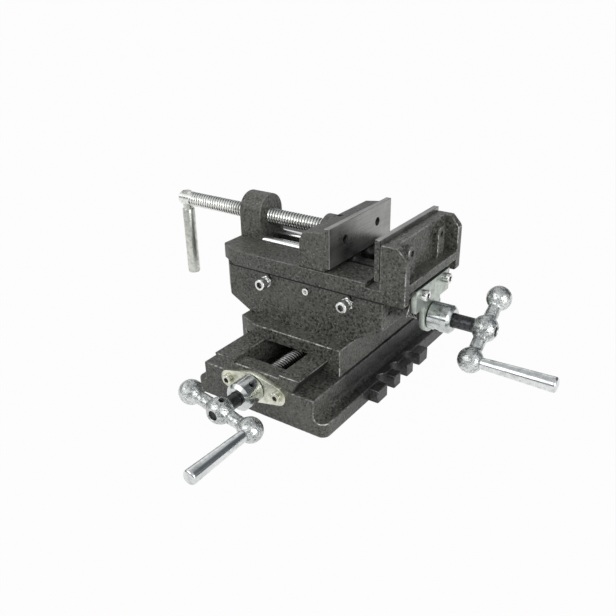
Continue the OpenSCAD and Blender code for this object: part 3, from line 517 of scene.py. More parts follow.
def plated_steel(name, bright, dull, rough, grain, relief, turned_along=None):
    """Plated steel darkened in its threads and sockets by oil and painted shade; a turned piece shows the
    tool's rings.
    """
    material, tree, shader = new_material(name)
    skin = use_group(tree, ZINC_PLATING, Bright=bright, Dull=dull, Rough=rough, Grain=grain)
    groove = linked(tree, "ShaderNodeAttribute", {"attribute_name": "groove"}).outputs["Fac"]
    shade_painted = tuple(0.25 * c for c in dull[:3]) + (1.0,)
    # Oil and painted shade darken the faces marked as grooves.
    colour = blended(tree, calculated(tree, "MULTIPLY", groove, 0.8), skin.outputs["Color"], shade_painted)
    height = skin.outputs["Height"]
    if turned_along:
        rings = scratches(tree, turned_along, 4.0, 1700.0)
        colour = blended(tree, mapped_range(tree, rings, 0.45, 0.75, 0.0, 0.5), colour, dull)
        height = calculated(tree, "ADD", height, calculated(tree, "MULTIPLY", rings, 0.6))
    tree.links.new(colour, shader.inputs["Base Color"])
    tree.links.new(skin.outputs["Roughness"], shader.inputs["Roughness"])
    shader.inputs["Metallic"].default_value = 1.0
    bumped(tree, shader, height, relief)
    return material


def turned(profile, place, steps=56, ring=False, hexagons=None, limit=None):
    """A closed bmesh of (along, radius) points in millimetres, spun about local Z and set in its place.

    Points at a radius that hexagons names go out to a hexagon of that size across flats, and limit gives the
    most that a point may reach at a height."""
    shape = bmesh.new()
    points = [shape.verts.new((radius * MM, 0.0, along * MM)) for along, radius in profile]
    follow = points[1:] + points[:1] if ring else points[1:]
    edges = [shape.edges.new(pair) for pair in zip(points, follow)]
    bmesh.ops.spin(shape, geom=points + edges, cent=(0.0, 0.0, 0.0), axis=(0.0, 0.0, 1.0), angle=math.tau,
                   steps=steps, use_merge=True)
    bmesh.ops.remove_doubles(shape, verts=shape.verts, dist=MERGE)
    for radius, flats in (hexagons or {}).items():
        for vert in shape.verts:
            reach = math.hypot(vert.co.x, vert.co.y) / MM
            if abs(reach - radius) < HEX_NEAR:
                turn = math.atan2(vert.co.y, vert.co.x) % (math.pi / 3) - math.pi / 6
                wanted = flats / 2 / math.cos(turn)
                if limit:
                    wanted = min(wanted, limit(vert.co.z / MM))
                vert.co.xy *= wanted / reach
    bmesh.ops.recalc_face_normals(shape, faces=shape.faces)
    shape.transform(place)
    return shape


def joined(first, *others):
    """Several bmeshes in one."""
    for other in others:
        mesh = bpy.data.meshes.new("joining")
        other.to_mesh(mesh)
        other.free()
        first.from_mesh(mesh)
        bpy.data.meshes.remove(mesh)
    return first


def cap_screw(place, head_d, head_high, shank_d, shank_long, flats):
    """A socket screw whose head stands on the seat at local zero, with a rounded rim and a hexagon socket."""
    head = head_d / 2
    rim = 0.9
    socket = flats / 2
    screw = turned([
        (-shank_long, 0.0), (-shank_long, shank_d / 2), (0.0, shank_d / 2), (0.0, head - 0.2),
        (0.2, head), (head_high - rim, head), (head_high - 0.5 * rim, head - 0.13 * rim),
        (head_high - 0.13 * rim, head - 0.5 * rim), (head_high, head - rim), (head_high, socket + 0.35),
        (head_high - 0.3, socket), (0.45 * head_high, socket), (0.38 * head_high, 0.0),
    ], place, HEX_STEPS, hexagons={socket: flats})
    # The socket's inside is marked for oil and painted shade.
    groove = screw.faces.layers.float.new("groove")
    to_screw = place.inverted()
    for face in screw.faces:
        middle = (to_screw @ face.calc_center_median()) / MM
        if middle.z > 0.3 * head_high and math.hypot(middle.x, middle.y) < 1.16 * socket:
            face[groove] = 1.0
    return screw


def plate_screws(head_high, place, apart, up):
    """The two cap screws that hold an end plate, on either side of its feed screw and up from it."""
    return joined(*(
        cap_screw(place @ Matrix.Translation((side * apart * MM, up * MM, 0.0)), PLATE_HEAD_D, head_high,
                  PLATE_SCREW_D, PLATE_SCREW_BITE, SOCKET_FLATS)
        for side in (-1, 1)
    ))


YELLOW_ZINC = plated_steel("yellow_zinc_plate", YELLOW_BRIGHT, YELLOW_DULL, 0.34, 260.0, 0.00005)
YELLOW_SCREWS = plated_steel("yellow_zinc_screws", (0.80, 0.80, 0.70, 1.0), (0.44, 0.45, 0.36, 1.0),
                             0.26, 600.0, 0.00004)
SCREW_ZINC = plated_steel("bright_zinc_screws", (0.90, 0.91, 0.89, 1.0), (0.58, 0.59, 0.56, 1.0),
                          0.20, 700.0, 0.00003)
finished("y_end_plate_plated", rounded(plain_copy("y_end_plate"), PLATE_ROUND), "base",
         [YELLOW_ZINC], ["y_end_plate"])
finished("y_end_plate_cap_screws", plate_screws(Y_HEAD_HIGH, Y_SCREW, Y_PLATE_SCREW, 0.0),
         "base", [YELLOW_SCREWS], ["y_end_plate_screws"])

# The lower feed screw is blackened steel: a thread inside the base, a thrust shoulder and a plain shaft.
# A zinc plated collar is held on the shaft by a set screw, and takes up the thrust in front of the end plate.
BLACK_BRIGHT = (0.075, 0.078, 0.080, 1.0)
BLACK_DULL = (0.022, 0.023, 0.024, 1.0)
FEED_D = 14.0
FEED_PITCH = 3.0
Y_FEED_LONG = 190.0
PLATE_THICK = 5.0
SHOULDER_D = 18.0
SHOULDER_LONG = 4.0
SHAFT_D = 12.0
TAIL_D = 8.0
Y_HUB_OUT = 39.5
TAIL_STEP = 3.0
TAIL_END = 7.75
COLLAR_D = 24.0
COLLAR_LONG = 19.5
COLLAR_START = 0.6
COLLAR_CHAMFER = 2.5
COLLAR_HOLE = 8.4
Y_COLLAR_TURN = math.radians(-35)
SET_SCREW_D = 5.0
FIT = 0.02
COLLAR_STEPS = 72
HOLE_STEPS = 32
CUT_NEAR = 1e-8
THREAD_DEPTH = 0.46
THREAD_PROFILE = (
    (0.05, 1.0), (0.16, 0.72), (0.36, 0.06), (0.42, 0.0),
    (0.56, 0.0), (0.62, 0.06), (0.82, 0.72), (0.93, 1.0),
)


def threaded(start, end, major, pitch, place, steps=40):
    """A right-hand thread between two heights on local Z, closed at both ends, in millimetres."""
    depth = THREAD_DEPTH * pitch
    shape = bmesh.new()
    spots = []
    for turn in range(math.ceil((end - start) / pitch) + 2):
        for share, low in THREAD_PROFILE:
            spots.append((start + (turn - 1.5 + share) * pitch, major / 2 - low * depth))
    points = [shape.verts.new((radius * MM, 0.0, along * MM)) for along, radius in spots]
    edges = [shape.edges.new(pair) for pair in zip(points, points[1:])]
    bmesh.ops.spin(shape, geom=points + edges, cent=(0.0, 0.0, 0.0), axis=(0.0, 0.0, 1.0),
                   dvec=(0.0, 0.0, pitch * MM / steps), angle=math.tau, steps=steps, use_merge=False)
    bmesh.ops.remove_doubles(shape, verts=shape.verts, dist=5 * MERGE)
    for level, facing in ((start, -1.0), (end, 1.0)):
        bmesh.ops.bisect_plane(shape, geom=shape.verts[:] + shape.edges[:] + shape.faces[:], dist=CUT_NEAR,
                               plane_co=(0.0, 0.0, level * MM), plane_no=(0.0, 0.0, facing), clear_outer=True)
    bmesh.ops.holes_fill(shape, edges=[edge for edge in shape.edges if edge.is_boundary])
    bmesh.ops.recalc_face_normals(shape, faces=shape.faces)
    # Thread valleys are marked for oil and painted shade.
    groove = shape.faces.layers.float.new("groove")
    for face in shape.faces:
        middle = face.calc_center_median()
        if math.hypot(middle.x, middle.y) / MM < major / 2 - 0.5 * depth:
            face[groove] = 1.0
    shape.transform(place)
    return shape


def held_object(shape):
    """A bmesh put on a passing object, for a Boolean."""
    mesh = bpy.data.meshes.new("held")
    shape.to_mesh(mesh)
    shape.free()
    holder = bpy.data.objects.new("held", mesh)
    bpy.context.scene.collection.objects.link(holder)
    return holder


def drilled(shape, *cutters):
    """Takes the cutters away from a shape with exact Booleans, and removes the objects that held them."""
    holders = [held_object(each) for each in (shape, *cutters)]
    for cutter in holders[1:]:
        drill = holders[0].modifiers.new("drill", "BOOLEAN")
        drill.operation = "DIFFERENCE"
        drill.solver = "EXACT"
        drill.object = cutter
    result = bmesh.new()
    result.from_object(holders[0], bpy.context.evaluated_depsgraph_get())
    for holder in holders:
        mesh = holder.data
        bpy.data.objects.remove(holder)
        bpy.data.meshes.remove(mesh)
    return result


def round_bar(start, end, diameter, place, steps=40):
    """A plain bar between two heights on local Z."""
    return turned([(start, 0.0), (start, diameter / 2), (end, diameter / 2), (end, 0.0)], place, steps)


def feed_screw(inside, hub_out, place):
    """The thread, the thrust shoulder and the stepped shaft of a feed screw."""
    shoulder = -PLATE_THICK - SHOULDER_LONG - 0.1
    step = hub_out + TAIL_STEP
    plain = turned([
        (shoulder, 0.0), (shoulder, SHOULDER_D / 2 - 0.5), (shoulder + 0.5, SHOULDER_D / 2),
        (shoulder + SHOULDER_LONG, SHOULDER_D / 2), (shoulder + SHOULDER_LONG, SHAFT_D / 2),
        (step - 0.4, SHAFT_D / 2), (step, SHAFT_D / 2 - 0.4), (step, TAIL_D / 2),
        (hub_out + TAIL_END - 0.6, TAIL_D / 2), (hub_out + TAIL_END, TAIL_D / 2 - 0.6),
        (hub_out + TAIL_END, 0.0),
    ], place)
    thread = threaded(-inside, shoulder + 0.2, FEED_D, FEED_PITCH, place)
    for face in thread.faces:
        face.material_index = 1
    return joined(thread, plain)


def shaft_collar(place, turn):
    """A collar with a chamfered front, a bored middle and a radial hole for its set screw."""
    bore = SHAFT_D / 2 + FIT
    end = COLLAR_START + COLLAR_LONG
    ring = turned([
        (COLLAR_START, bore), (COLLAR_START, COLLAR_D / 2 - 0.4), (COLLAR_START + 0.4, COLLAR_D / 2),
        (end - COLLAR_CHAMFER, COLLAR_D / 2), (end - 0.5, COLLAR_D / 2 - COLLAR_CHAMFER + 0.5),
        (end, COLLAR_D / 2 - COLLAR_CHAMFER - 0.3), (end, bore + 0.3), (end - 0.3, bore),
    ], place, COLLAR_STEPS, ring=True)
    up_hole = place @ Matrix.Translation((0.0, 0.0, COLLAR_HOLE * MM)) @ Matrix.Rotation(turn, 4, "Z")
    across = up_hole @ Matrix.Rotation(-math.pi / 2, 4, "X")
    return drilled(ring, round_bar(SHAFT_D / 2 - 1.0, COLLAR_D, SET_SCREW_D + 2 * FIT, across, HOLE_STEPS))


BLACK_STEEL = plated_steel("blackened_steel", BLACK_BRIGHT, BLACK_DULL, 0.36, 420.0, 0.00004)
FEED_STEEL = plated_steel("oiled_feed_thread", (0.24, 0.24, 0.235, 1.0), (0.09, 0.09, 0.088, 1.0),
                          0.28, 420.0, 0.00003)
COLLAR_ZINC = plated_steel("satin_zinc_collars", (0.64, 0.67, 0.66, 1.0), (0.46, 0.485, 0.475, 1.0),
                           0.19, 300.0, 0.00001)

# The lower crank is one zinc plated casting: a bored hub ball and two end balls on arms that swell into them.
# A set screw holds it on the shaft's end, and a turned grip is riveted into one end ball.
# The screw, collar, crank and grip turn as one body.
BRIGHT = (0.79, 0.81, 0.805, 1.0)
DULL = (0.50, 0.52, 0.52, 1.0)
HUB_D = 21.5
BALL_D = 20.5
HUB_FLAT = 9.25
CRANK_REACH = 30.5
ARM_HUB_D = 11.6
ARM_BALL_D = 10.2
SWELL = 5.0
Y_CRANK_TURN = math.radians(-12.4)
GRIP_THIN_D = 9.4
GRIP_THICK_D = 12.2
GRIP_REACH = 68.0
GRIP_PIN_D = 6.0
GRIP_PIN_IN = -4.0
CRANK_ROWS = 120
CRANK_STEPS = 64
BORE_STEPS = 48
GRIP_SEAT = math.sqrt((BALL_D / 2) ** 2 - (GRIP_THIN_D / 2 + 0.3) ** 2)


def ball_radius(x, middle, diameter):
    """How thick a ball is at a place along the arm."""
    return math.sqrt(max((diameter / 2) ** 2 - (x - middle) ** 2, 0.0))


def crank_radius(x):
    """How thick the crank is at a place along its arm, with the balls and arms flowing into each other."""
    out = abs(x)
    arm = 0.0
    if out < CRANK_REACH:
        arm = (ARM_HUB_D + (ARM_BALL_D - ARM_HUB_D) * out / CRANK_REACH) / 2
    parts = (ball_radius(x, 0.0, HUB_D), ball_radius(out, CRANK_REACH, BALL_D), arm)
    return sum(part ** SWELL for part in parts) ** (1 / SWELL)


def three_ball_crank(place):
    """The crank about local Z, with its stepped bore, hub faces, set screw hole and seat for the grip."""
    end = CRANK_REACH + BALL_D / 2
    stations = [-end * math.cos(math.pi * row / CRANK_ROWS) for row in range(CRANK_ROWS + 1)]
    profile = [(x, crank_radius(x)) for x in stations[1:-1]]
    profile = [(-end, 0.0)] + profile + [(end, 0.0)]
    body = turned(profile, place @ Matrix.Rotation(math.pi / 2, 4, "Y"), CRANK_STEPS)
    bore = SHAFT_D / 2 + FIT
    tail = TAIL_D / 2 + FIT
    wide = 8.0
    far = 16.0
    hub_bore = turned([
        (-far, 0.0), (-far, wide), (-HUB_FLAT, wide), (-HUB_FLAT, bore + 0.4), (-HUB_FLAT + 0.4, bore),
        (TAIL_STEP + 0.2, bore), (TAIL_STEP + 0.2, tail), (HUB_FLAT - 0.5, tail), (HUB_FLAT, tail + 0.5),
        (HUB_FLAT, wide), (far, wide), (far, 0.0),
    ], place, BORE_STEPS)
    across = place @ Matrix.Rotation(-math.pi / 2, 4, "X")
    screw_hole = round_bar(TAIL_D / 2 + 0.5, far, SET_SCREW_D + 2 * FIT, across, HOLE_STEPS)
    at_grip = place @ Matrix.Translation((CRANK_REACH * MM, 0.0, 0.0))
    grip_seat = turned([
        (GRIP_PIN_IN, 0.0), (GRIP_PIN_IN, GRIP_PIN_D / 2 + FIT), (GRIP_SEAT, GRIP_PIN_D / 2 + FIT),
        (GRIP_SEAT, BALL_D / 2), (far, BALL_D / 2), (far, 0.0),
    ], at_grip, BORE_STEPS)
    return drilled(body, hub_bore, screw_hole, grip_seat)


def crank_grip(place):
    """The turned grip: a pin into the ball, a taper and a rounded end."""
    seat = GRIP_SEAT + FIT
    thick = GRIP_THICK_D / 2
    rim = 2.2
    crown = 0.35
    edge = [
        (GRIP_REACH - crown - rim + rim * math.sin(t), thick - rim + rim * math.cos(t))
        for t in (math.radians(a) for a in (0, 15, 30, 45, 60, 75, 84))
    ]
    foot = [
        (GRIP_PIN_IN, 0.0), (GRIP_PIN_IN, GRIP_PIN_D / 2), (seat, GRIP_PIN_D / 2),
        (seat, GRIP_THIN_D / 2 - 0.3), (seat + 0.3, GRIP_THIN_D / 2),
    ]
    at_ball = place @ Matrix.Translation((CRANK_REACH * MM, 0.0, 0.0))
    return turned(foot + edge + [(GRIP_REACH, 0.0)], at_ball)


def dressed(material, *nodes):
    """Gives CAD nodes that keep their own shape a finish."""
    for node in nodes:
        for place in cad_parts[node].material_slots:
            place.material = material


def feed_set(axis, place, inside, hub_out, collar_turn, crank_turn):
    """A feed screw with its collar, crank and grip, which turn together on one body."""
    body = axis + "_screw"
    hub_place = place @ Matrix.Translation((0.0, 0.0, hub_out * MM)) @ Matrix.Rotation(crank_turn, 4, "Z")
    grip_zinc = plated_steel("turned_zinc_" + axis, BRIGHT, DULL, 0.14, 300.0, 0.000008, axis)
    finished(axis + "_feed_screw_threaded", feed_screw(inside, hub_out, place), body,
             [BLACK_STEEL, FEED_STEEL], [axis + "_feed_screw"])
    finished(axis + "_collar_turned", shaft_collar(place, collar_turn), body, [COLLAR_ZINC],
             [axis + "_collar"])
    finished(axis + "_crank_cast", three_ball_crank(hub_place), body, [CAST_ZINC],
             [axis + "_crank"])
    finished(axis + "_crank_grip_turned", crank_grip(hub_place), body, [grip_zinc],
             [axis + "_crank_grip"])
    dressed(BLACK_STEEL, axis + "_collar_set_screw", axis + "_crank_set_screw")


CAST_ZINC = plated_steel("mottled_zinc", (0.72, 0.745, 0.735, 1.0), (0.18, 0.195, 0.19, 1.0),
                         0.15, 480.0, 0.0005)
feed_set("y", Y_SCREW, Y_FEED_LONG, Y_HUB_OUT, Y_COLLAR_TURN, Y_CRANK_TURN)

# The saddle is the middle casting: a flat foot on the base's dovetail and a flared block for the top slide.
# Gibs with screws and lock nuts take up the play in both slides, and bronze nuts ride on the feed screws.
SADDLE_ROUND = 0.8 * MM
SADDLE_Y = -5.5
BLOCK_FRONT = -54.5
BLOCK_FOOT = 60.0
BLOCK_WEAR = 0.25
# The height above which the saddle's sides take painted seam shade, in millimetres.
SEAM_SHADE_LINE = 98.1
NEARLY_SQUARE = 0.98
SADDLE_LEFT = -55.0
X_GIB_MID = 11.8
X_GIB_SCREW_D = 6.0
X_GIB_SCREW_X = 41.0
X_GIB_SCREW_Z = 93.2
X_GIB_SCREW_OUT = 14.0
X_GIB_HEAD_D = 10.0
X_GIB_HEAD_HIGH = 6.0
X_GIB_SOCKET = 5.0
X_GIB_NUT = 10.0
X_GIB_TURN = math.radians(30)
Y_GIB_SCREW_D = 6.0
Y_GIB_SCREW_GAP = 42.0
Y_GIB_SCREW_Z = 39.0
Y_GIB_SCREW_OUT = 8.0
Y_GIB_NUT = 10.0
Y_GIB_TURN = math.radians(20)
GIB_PITCH = 1.0
GIB_STEPS = 32


def lock_nut(bore, flats, place):
    """A hexagon nut with both ends chamfered, on a seat at local zero."""
    high = flats / 2
    round_end = 0.49 * flats
    corner = flats / 2 / math.cos(math.pi / 6)
    slope = math.sqrt(3.0)
    chamfer = (corner - round_end) / slope
    rows = [chamfer * row / 5 for row in range(6)]
    levels = rows + [high - row for row in reversed(rows)]
    side = [(level, corner) for level in levels]
    hole = bore / 2 + FIT
    inside = [(high, hole + 0.6), (high - 0.6, hole), (0.6, hole), (0.0, hole + 0.6)]
    return turned(side + inside, place, HEX_STEPS, ring=True, hexagons={corner: flats},
                  limit=lambda level: round_end + slope * min(level, high - level))


def gib_screw(start, end, diameter, place):
    """A threaded set screw with a bevelled end and a hexagon socket."""
    shape = threaded(start, end, diameter, GIB_PITCH, Matrix.Identity(4), GIB_STEPS)
    bevel = 0.9
    for vert in shape.verts:
        reach = math.hypot(vert.co.x, vert.co.y) / MM
        most = diameter / 2 - max(0.0, bevel - (end - vert.co.z / MM))
        if reach > most:
            vert.co.xy *= most / reach
    floor_level = end - 0.45 * diameter
    past = end + 2.0
    across = 0.58 * diameter
    shape = drilled(shape, round_bar(floor_level, past, across, Matrix.Identity(4), 6))
    shape.transform(place)
    return shape


# Painted shade: near-black strips along the seams between castings and behind the fixed jaw plate.
SEAM_SHADE = machined_iron("painted_seam_shade", (0.005, 0.005, 0.005, 1.0), "x")
saddle_shape = rounded(plain_copy("saddle_casting"), SADDLE_ROUND)
fade_wear(saddle_shape, BLOCK_WEAR, lambda centre: centre.z > BLOCK_FOOT)
# The saddle's block is cut at a line just under the bed, and the strip above it takes painted seam shade.
bmesh.ops.bisect_plane(
    saddle_shape, geom=saddle_shape.verts[:] + saddle_shape.edges[:] + saddle_shape.faces[:], dist=MERGE,
    plane_co=(0.0, 0.0, SEAM_SHADE_LINE * MM), plane_no=(0.0, 0.0, 1.0),
)
paint_faces(saddle_shape, 1, lambda c, n: c.z > SEAM_SHADE_LINE and abs(n.z) < NEARLY_SQUARE)
finished("saddle_casting_painted", saddle_shape, "saddle", [GREY_PAINT, SEAM_SHADE],
         ["saddle_casting"], weighted=True)

x_gib_places = [
    Matrix.Translation(((X_GIB_MID + side * X_GIB_SCREW_X) * MM, BLOCK_FRONT * MM, X_GIB_SCREW_Z * MM))
    @ Matrix.Rotation(math.pi / 2, 4, "X") @ Matrix.Rotation(X_GIB_TURN, 4, "Z")
    for side in (-1, 1)
]
y_gib_places = [
    Matrix.Translation((SADDLE_LEFT * MM, (SADDLE_Y + row * Y_GIB_SCREW_GAP) * MM, Y_GIB_SCREW_Z * MM))
    @ Matrix.Rotation(-math.pi / 2, 4, "Y") @ Matrix.Rotation(row * Y_GIB_TURN, 4, "Z")
    for row in (-1, 0, 1)
]
x_gib_in = BLOCK_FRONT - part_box("x_gib_screws")[1].y / MM
y_gib_in = SADDLE_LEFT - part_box("y_gib_screws")[1].x / MM
x_gib_seat = X_GIB_SCREW_OUT - X_GIB_HEAD_HIGH
x_gib_screws = [
    part for place in x_gib_places for part in (
        threaded(x_gib_in, x_gib_seat + 0.3, X_GIB_SCREW_D, GIB_PITCH, place, GIB_STEPS),
        cap_screw(place @ Matrix.Translation((0.0, 0.0, x_gib_seat * MM)), X_GIB_HEAD_D, X_GIB_HEAD_HIGH,
                  0.7 * X_GIB_SCREW_D, 1.0, X_GIB_SOCKET),
    )
]
finished("x_gib_screws_threaded", joined(*x_gib_screws), "saddle", [SCREW_ZINC], ["x_gib_screws"])
finished("x_gib_lock_nuts", joined(*(lock_nut(X_GIB_SCREW_D, X_GIB_NUT, place) for place in x_gib_places)),
         "saddle", [SCREW_ZINC], ["x_gib_nuts"])
finished("y_gib_screws_threaded",
         joined(*(gib_screw(y_gib_in, Y_GIB_SCREW_OUT, Y_GIB_SCREW_D, place) for place in y_gib_places)),
         "saddle", [SCREW_ZINC], ["y_gib_screws"])
finished("y_gib_lock_nuts", joined(*(lock_nut(Y_GIB_SCREW_D, Y_GIB_NUT, place) for place in y_gib_places)),
         "saddle", [SCREW_ZINC], ["y_gib_nuts"])

GROUND_STEEL = plated_steel("ground_steel_x", (0.78, 0.79, 0.80, 1.0), (0.42, 0.43, 0.44, 1.0),
                            0.20, 500.0, 0.00002)
NUT_BRONZE = plated_steel("nut_bronze", (0.58, 0.40, 0.19, 1.0), (0.30, 0.19, 0.09, 1.0),
                          0.38, 350.0, 0.00005)
dressed(SCREW_ZINC, "x_lock_screw")
dressed(GROUND_STEEL, "y_gib", "x_gib")
dressed(NUT_BRONZE, "y_feed_nut", "x_feed_nut")
dressed(BLACK_STEEL, "y_nut_screws", "x_nut_screws")

# The vise body is the top casting: a bed with a channel, the post with the clamp screw's thread, the fixed
# jaw with its hollow back, and a dovetail below. Two ground rods in the channel guide the moving jaw.
BODY_ROUND = 0.8 * MM
JAW_ROUND = 0.5 * MM
END_ON = 0.9
SIDEWAYS = 0.1
BED_BOTTOM = 99.5
BED_TOP = 113.5
SEAM_WIDE = 0.6
JAW_WEAR = 0.3
JAW_DARK = (0.24, 0.241, 0.236, 1.0)
JAW_LIGHT = (0.43, 0.43, 0.415, 1.0)
ROD_BRIGHT = (0.78, 0.79, 0.78, 1.0)
ROD_SHADED = (0.045, 0.045, 0.047, 1.0)


def satin_jaw_steel():
    """Blackened tool steel with a ground, satin face: short lines across the jaw and faint handling marks."""
    material, tree, shader = new_material("satin_jaw_steel")
    lines = scratches(tree, "y", 1100.0, 26.0)
    marks = noise(tree, object_place(tree), 55.0, 5.0, 0.6)
    worn = use_group(tree, EDGE_WEAR).outputs["Worn"]
    tone = calculated(tree, "ADD", mapped_range(tree, lines, 0.3, 0.7, 0.0, 0.45),
                      mapped_range(tree, marks, 0.40, 0.70, 0.0, 0.55))
    face = blended(tree, tone, JAW_DARK, JAW_LIGHT)
    rubbed = calculated(tree, "MULTIPLY", worn, 0.5)
    tree.links.new(blended(tree, rubbed, face, BARE_IRON), shader.inputs["Base Color"])
    tree.links.new(mapped_range(tree, marks, 0.3, 0.7, 0.25, 0.38), shader.inputs["Roughness"])
    shader.inputs["Metallic"].default_value = 0.85
    bumped(tree, shader, lines, 0.00002)
    return material


def rods_with_painted_shade(bright_to, dark_from):
    """Ground steel rods, bright at the post and dark with painted shade towards the fixed jaw, where they run
    between the jaws.
    """
    material, tree, shader = new_material("ground_guide_rods")
    place = object_place(tree)
    shade_wobble = mapped_range(tree, noise(tree, place, 90.0, 4.0), 0.3, 0.7, -0.012, 0.012)
    along = linked(tree, "ShaderNodeSeparateXYZ", Vector=place).outputs["X"]
    # Painted shade: the rods darken from the moving jaw towards the fixed jaw.
    rod_shade = mapped_range(tree, calculated(tree, "ADD", along, shade_wobble), bright_to, dark_from)
    tree.links.new(blended(tree, rod_shade, ROD_BRIGHT, ROD_SHADED), shader.inputs["Base Color"])
    tree.links.new(mapped_range(tree, rod_shade, 0.0, 1.0, 0.20, 0.42), shader.inputs["Roughness"])
    shader.inputs["Metallic"].default_value = 1.0
    bumped(tree, shader, scratches(tree, "x", 4.0, 1500.0), 0.000008)
    return material


def jaw_plate(node):
    """A jaw plate with ground faces, whose two ends are painted with the casting."""
    shape = rounded(plain_copy(node), JAW_ROUND)
    paint_faces(shape, 1, lambda c, n: abs(n.y) > END_ON)
    return shape


JAW_STEEL = satin_jaw_steel()
plate_low, plate_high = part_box("fixed_jaw_plate")
plate_back = plate_high.x / MM
body_shape = rounded(plain_copy("vise_body_casting"), BODY_ROUND)
fade_wear(body_shape, JAW_WEAR, lambda centre: centre.x < plate_back)
# A strip along the bed's bottom edge takes painted seam shade.
paint_faces(body_shape, 1, lambda c, n: BED_BOTTOM < c.z < BED_BOTTOM + SEAM_WIDE and abs(n.z) < NEARLY_SQUARE)
finished("vise_body_painted", body_shape, "vise_body", [GREY_PAINT, SEAM_SHADE],
         ["vise_body_casting"], weighted=True)
fixed_plate = jaw_plate("fixed_jaw_plate")
# The fixed plate's back edges take painted seam shade.
paint_faces(fixed_plate, 2,
            lambda c, n: c.x > plate_back - SEAM_WIDE and abs(n.x) < NEARLY_SQUARE and abs(n.y) > SIDEWAYS)
finished("fixed_jaw_plate_ground", fixed_plate, "vise_body", [JAW_STEEL, GREY_PAINT, SEAM_SHADE],
         ["fixed_jaw_plate"], weighted=True)
dressed(BLACK_STEEL, "fixed_jaw_screws")
moving_low, moving_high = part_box("moving_jaw_casting")
# The guide rods carry painted shade between the jaws.
dressed(rods_with_painted_shade(moving_low.x, 0.5 * (moving_high.x + plate_low.x)), "guide_rods")

# The right end plate is pale zinc plated steel with a rounded tab for the upper feed screw.
# Two taller cap screws hold it on the end of the bed, under the fixed jaw.
PALE_BRIGHT = (0.54, 0.58, 0.54, 1.0)
PALE_DULL = (0.40, 0.43, 0.395, 1.0)
X_SCREW = (
    Matrix.Translation((0.1025, -0.0055, 0.075)) @ Matrix.Rotation(math.pi / 2, 4, "Z")
    @ Matrix.Rotation(math.pi / 2, 4, "X")
)
X_PLATE_SCREW = 20.3
X_PLATE_SCREW_UP = 26.0
X_HEAD_HIGH = 5.5
PALE_ZINC = plated_steel("pale_zinc_plate", PALE_BRIGHT, PALE_DULL, 0.36, 240.0, 0.00004)
finished("x_end_plate_plated", rounded(plain_copy("x_end_plate"), PLATE_ROUND), "vise_body",
         [PALE_ZINC], ["x_end_plate"])
finished("x_end_plate_cap_screws", plate_screws(X_HEAD_HIGH, X_SCREW, X_PLATE_SCREW, X_PLATE_SCREW_UP),
         "vise_body", [SCREW_ZINC], ["x_end_plate_screws"])

# The upper feed screw, collar, crank and grip are the same parts as the lower ones, with a longer shaft.
# They turn in the right end plate and move the vise body along the saddle.
X_FEED_LONG = 162.0
X_HUB_OUT = 46.5
X_COLLAR_TURN = math.radians(140)
X_CRANK_TURN = math.radians(212.7)
feed_set("x", X_SCREW, X_FEED_LONG, X_HUB_OUT, X_COLLAR_TURN, X_CRANK_TURN)

# The moving jaw is a painted casting that slides on the bed, with a boss behind it for the clamp screw's end.
# Its jaw plate is the same as the fixed one, and a set screw from above keeps the clamp screw in the boss.
JAW_SEAM = 0.8

moving_shape = rounded(plain_copy("moving_jaw_casting"), BODY_ROUND)
fade_wear(moving_shape, JAW_WEAR, lambda centre: True)
# A strip along the moving jaw's bottom edge takes painted seam shade.
paint_faces(moving_shape, 1, lambda c, n: BED_TOP < c.z < BED_TOP + JAW_SEAM and abs(n.z) < NEARLY_SQUARE)
finished("moving_jaw_painted", moving_shape, "moving_jaw", [GREY_PAINT, SEAM_SHADE],
         ["moving_jaw_casting"], weighted=True)
finished("moving_jaw_plate_ground", jaw_plate("moving_jaw_plate"), "moving_jaw",
         [JAW_STEEL, GREY_PAINT], ["moving_jaw_plate"], weighted=True)
dressed(BLACK_STEEL, "moving_jaw_screws", "clamp_retaining_screw")

# The clamp screw is zinc plated steel with a coarse thread, a plain head and a journal in the moving jaw.
# Its handle is a round bar with a narrower neck that goes through the head and is riveted over on top.
CLAMP_D = 14.0
CLAMP_PITCH = 3.0
CLAMP_Z = 132.0
HANDLE_X = -168.0
HEAD_END = 6.5
THREAD_END = -1.1
JOURNAL_D = 10.0
JOURNAL_END = 19.0
GROOVE_D = 7.0
GROOVE_FROM = 9.5
GROOVE_TO = 14.5
NECK_D = 9.6
BAR_D = 12.0
BAR_TOP = -10.5
BAR_LONG = 79.0
NECK_TOP = 7.3
BORE_HALF = 20.0
CLAMP_STEPS = 48

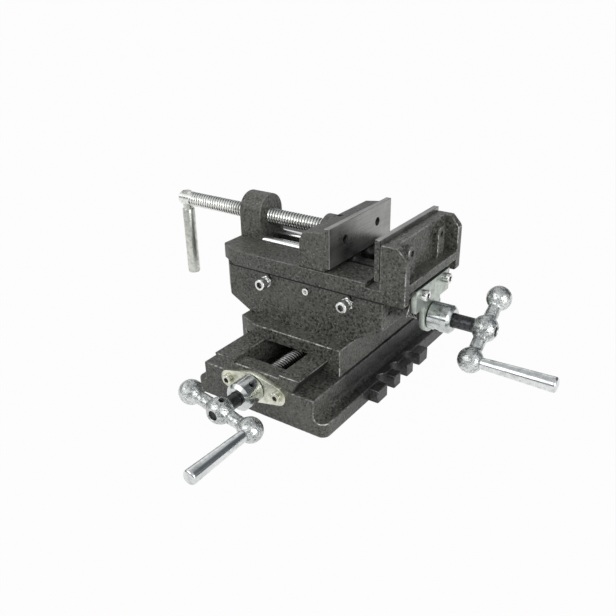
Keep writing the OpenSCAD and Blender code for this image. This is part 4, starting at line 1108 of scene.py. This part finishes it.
clamp_line = Matrix.Translation((0.0, SADDLE_Y * MM, CLAMP_Z * MM)) @ Matrix.Rotation(math.pi / 2, 4, "Y")
handle_line = Matrix.Translation((HANDLE_X * MM, SADDLE_Y * MM, CLAMP_Z * MM))
head_left = HANDLE_X - HEAD_END
head_right = HANDLE_X + HEAD_END + 0.5
clamp_head = turned([
    (head_left, 0.0), (head_left, CLAMP_D / 2 - 1.5), (head_left + 0.4, CLAMP_D / 2 - 0.7),
    (head_left + 1.5, CLAMP_D / 2), (head_right, CLAMP_D / 2), (head_right + 1.2, CLAMP_D / 2 - 1.3),
    (head_right + 1.2, 0.0),
], clamp_line)
head_bore = round_bar(-BORE_HALF, BORE_HALF, NECK_D + 2 * FIT, handle_line)
clamp_journal = turned([
    (THREAD_END - 0.5, 0.0), (THREAD_END - 0.5, JOURNAL_D / 2), (GROOVE_FROM, JOURNAL_D / 2),
    (GROOVE_FROM, GROOVE_D / 2), (GROOVE_TO, GROOVE_D / 2), (GROOVE_TO, JOURNAL_D / 2),
    (JOURNAL_END - 0.6, JOURNAL_D / 2), (JOURNAL_END, JOURNAL_D / 2 - 0.6), (JOURNAL_END, 0.0),
], clamp_line)
clamp_thread = threaded(head_right + 0.6, THREAD_END, CLAMP_D, CLAMP_PITCH, clamp_line, CLAMP_STEPS)
THREAD_ZINC = plated_steel("thread_zinc", (0.90, 0.91, 0.88, 1.0), (0.60, 0.61, 0.575, 1.0),
                           0.24, 420.0, 0.00003)
HANDLE_ZINC = plated_steel("handle_zinc", (0.66, 0.675, 0.63, 1.0), (0.40, 0.415, 0.36, 1.0),
                           0.36, 260.0, 0.00006)
finished("clamp_screw_threaded", joined(clamp_thread, drilled(clamp_head, head_bore), clamp_journal), "clamp",
         [THREAD_ZINC], ["clamp_screw"])

handle_shape = turned([
    (-BAR_LONG, 0.0), (-BAR_LONG, BAR_D / 2 - 1.5), (-BAR_LONG + 0.45, BAR_D / 2 - 0.45),
    (-BAR_LONG + 1.5, BAR_D / 2), (BAR_TOP - 0.8, BAR_D / 2), (BAR_TOP - 0.15, BAR_D / 2 - 0.3),
    (BAR_TOP, BAR_D / 2 - 0.9), (BAR_TOP, NECK_D / 2), (NECK_TOP - 1.4, NECK_D / 2),
    (NECK_TOP - 0.5, NECK_D / 2 - 0.4), (NECK_TOP - 0.1, NECK_D / 2 - 1.2), (NECK_TOP, 0.0),
], handle_line)
finished("clamp_handle_turned", handle_shape, "clamp", [HANDLE_ZINC], ["clamp_handle"])
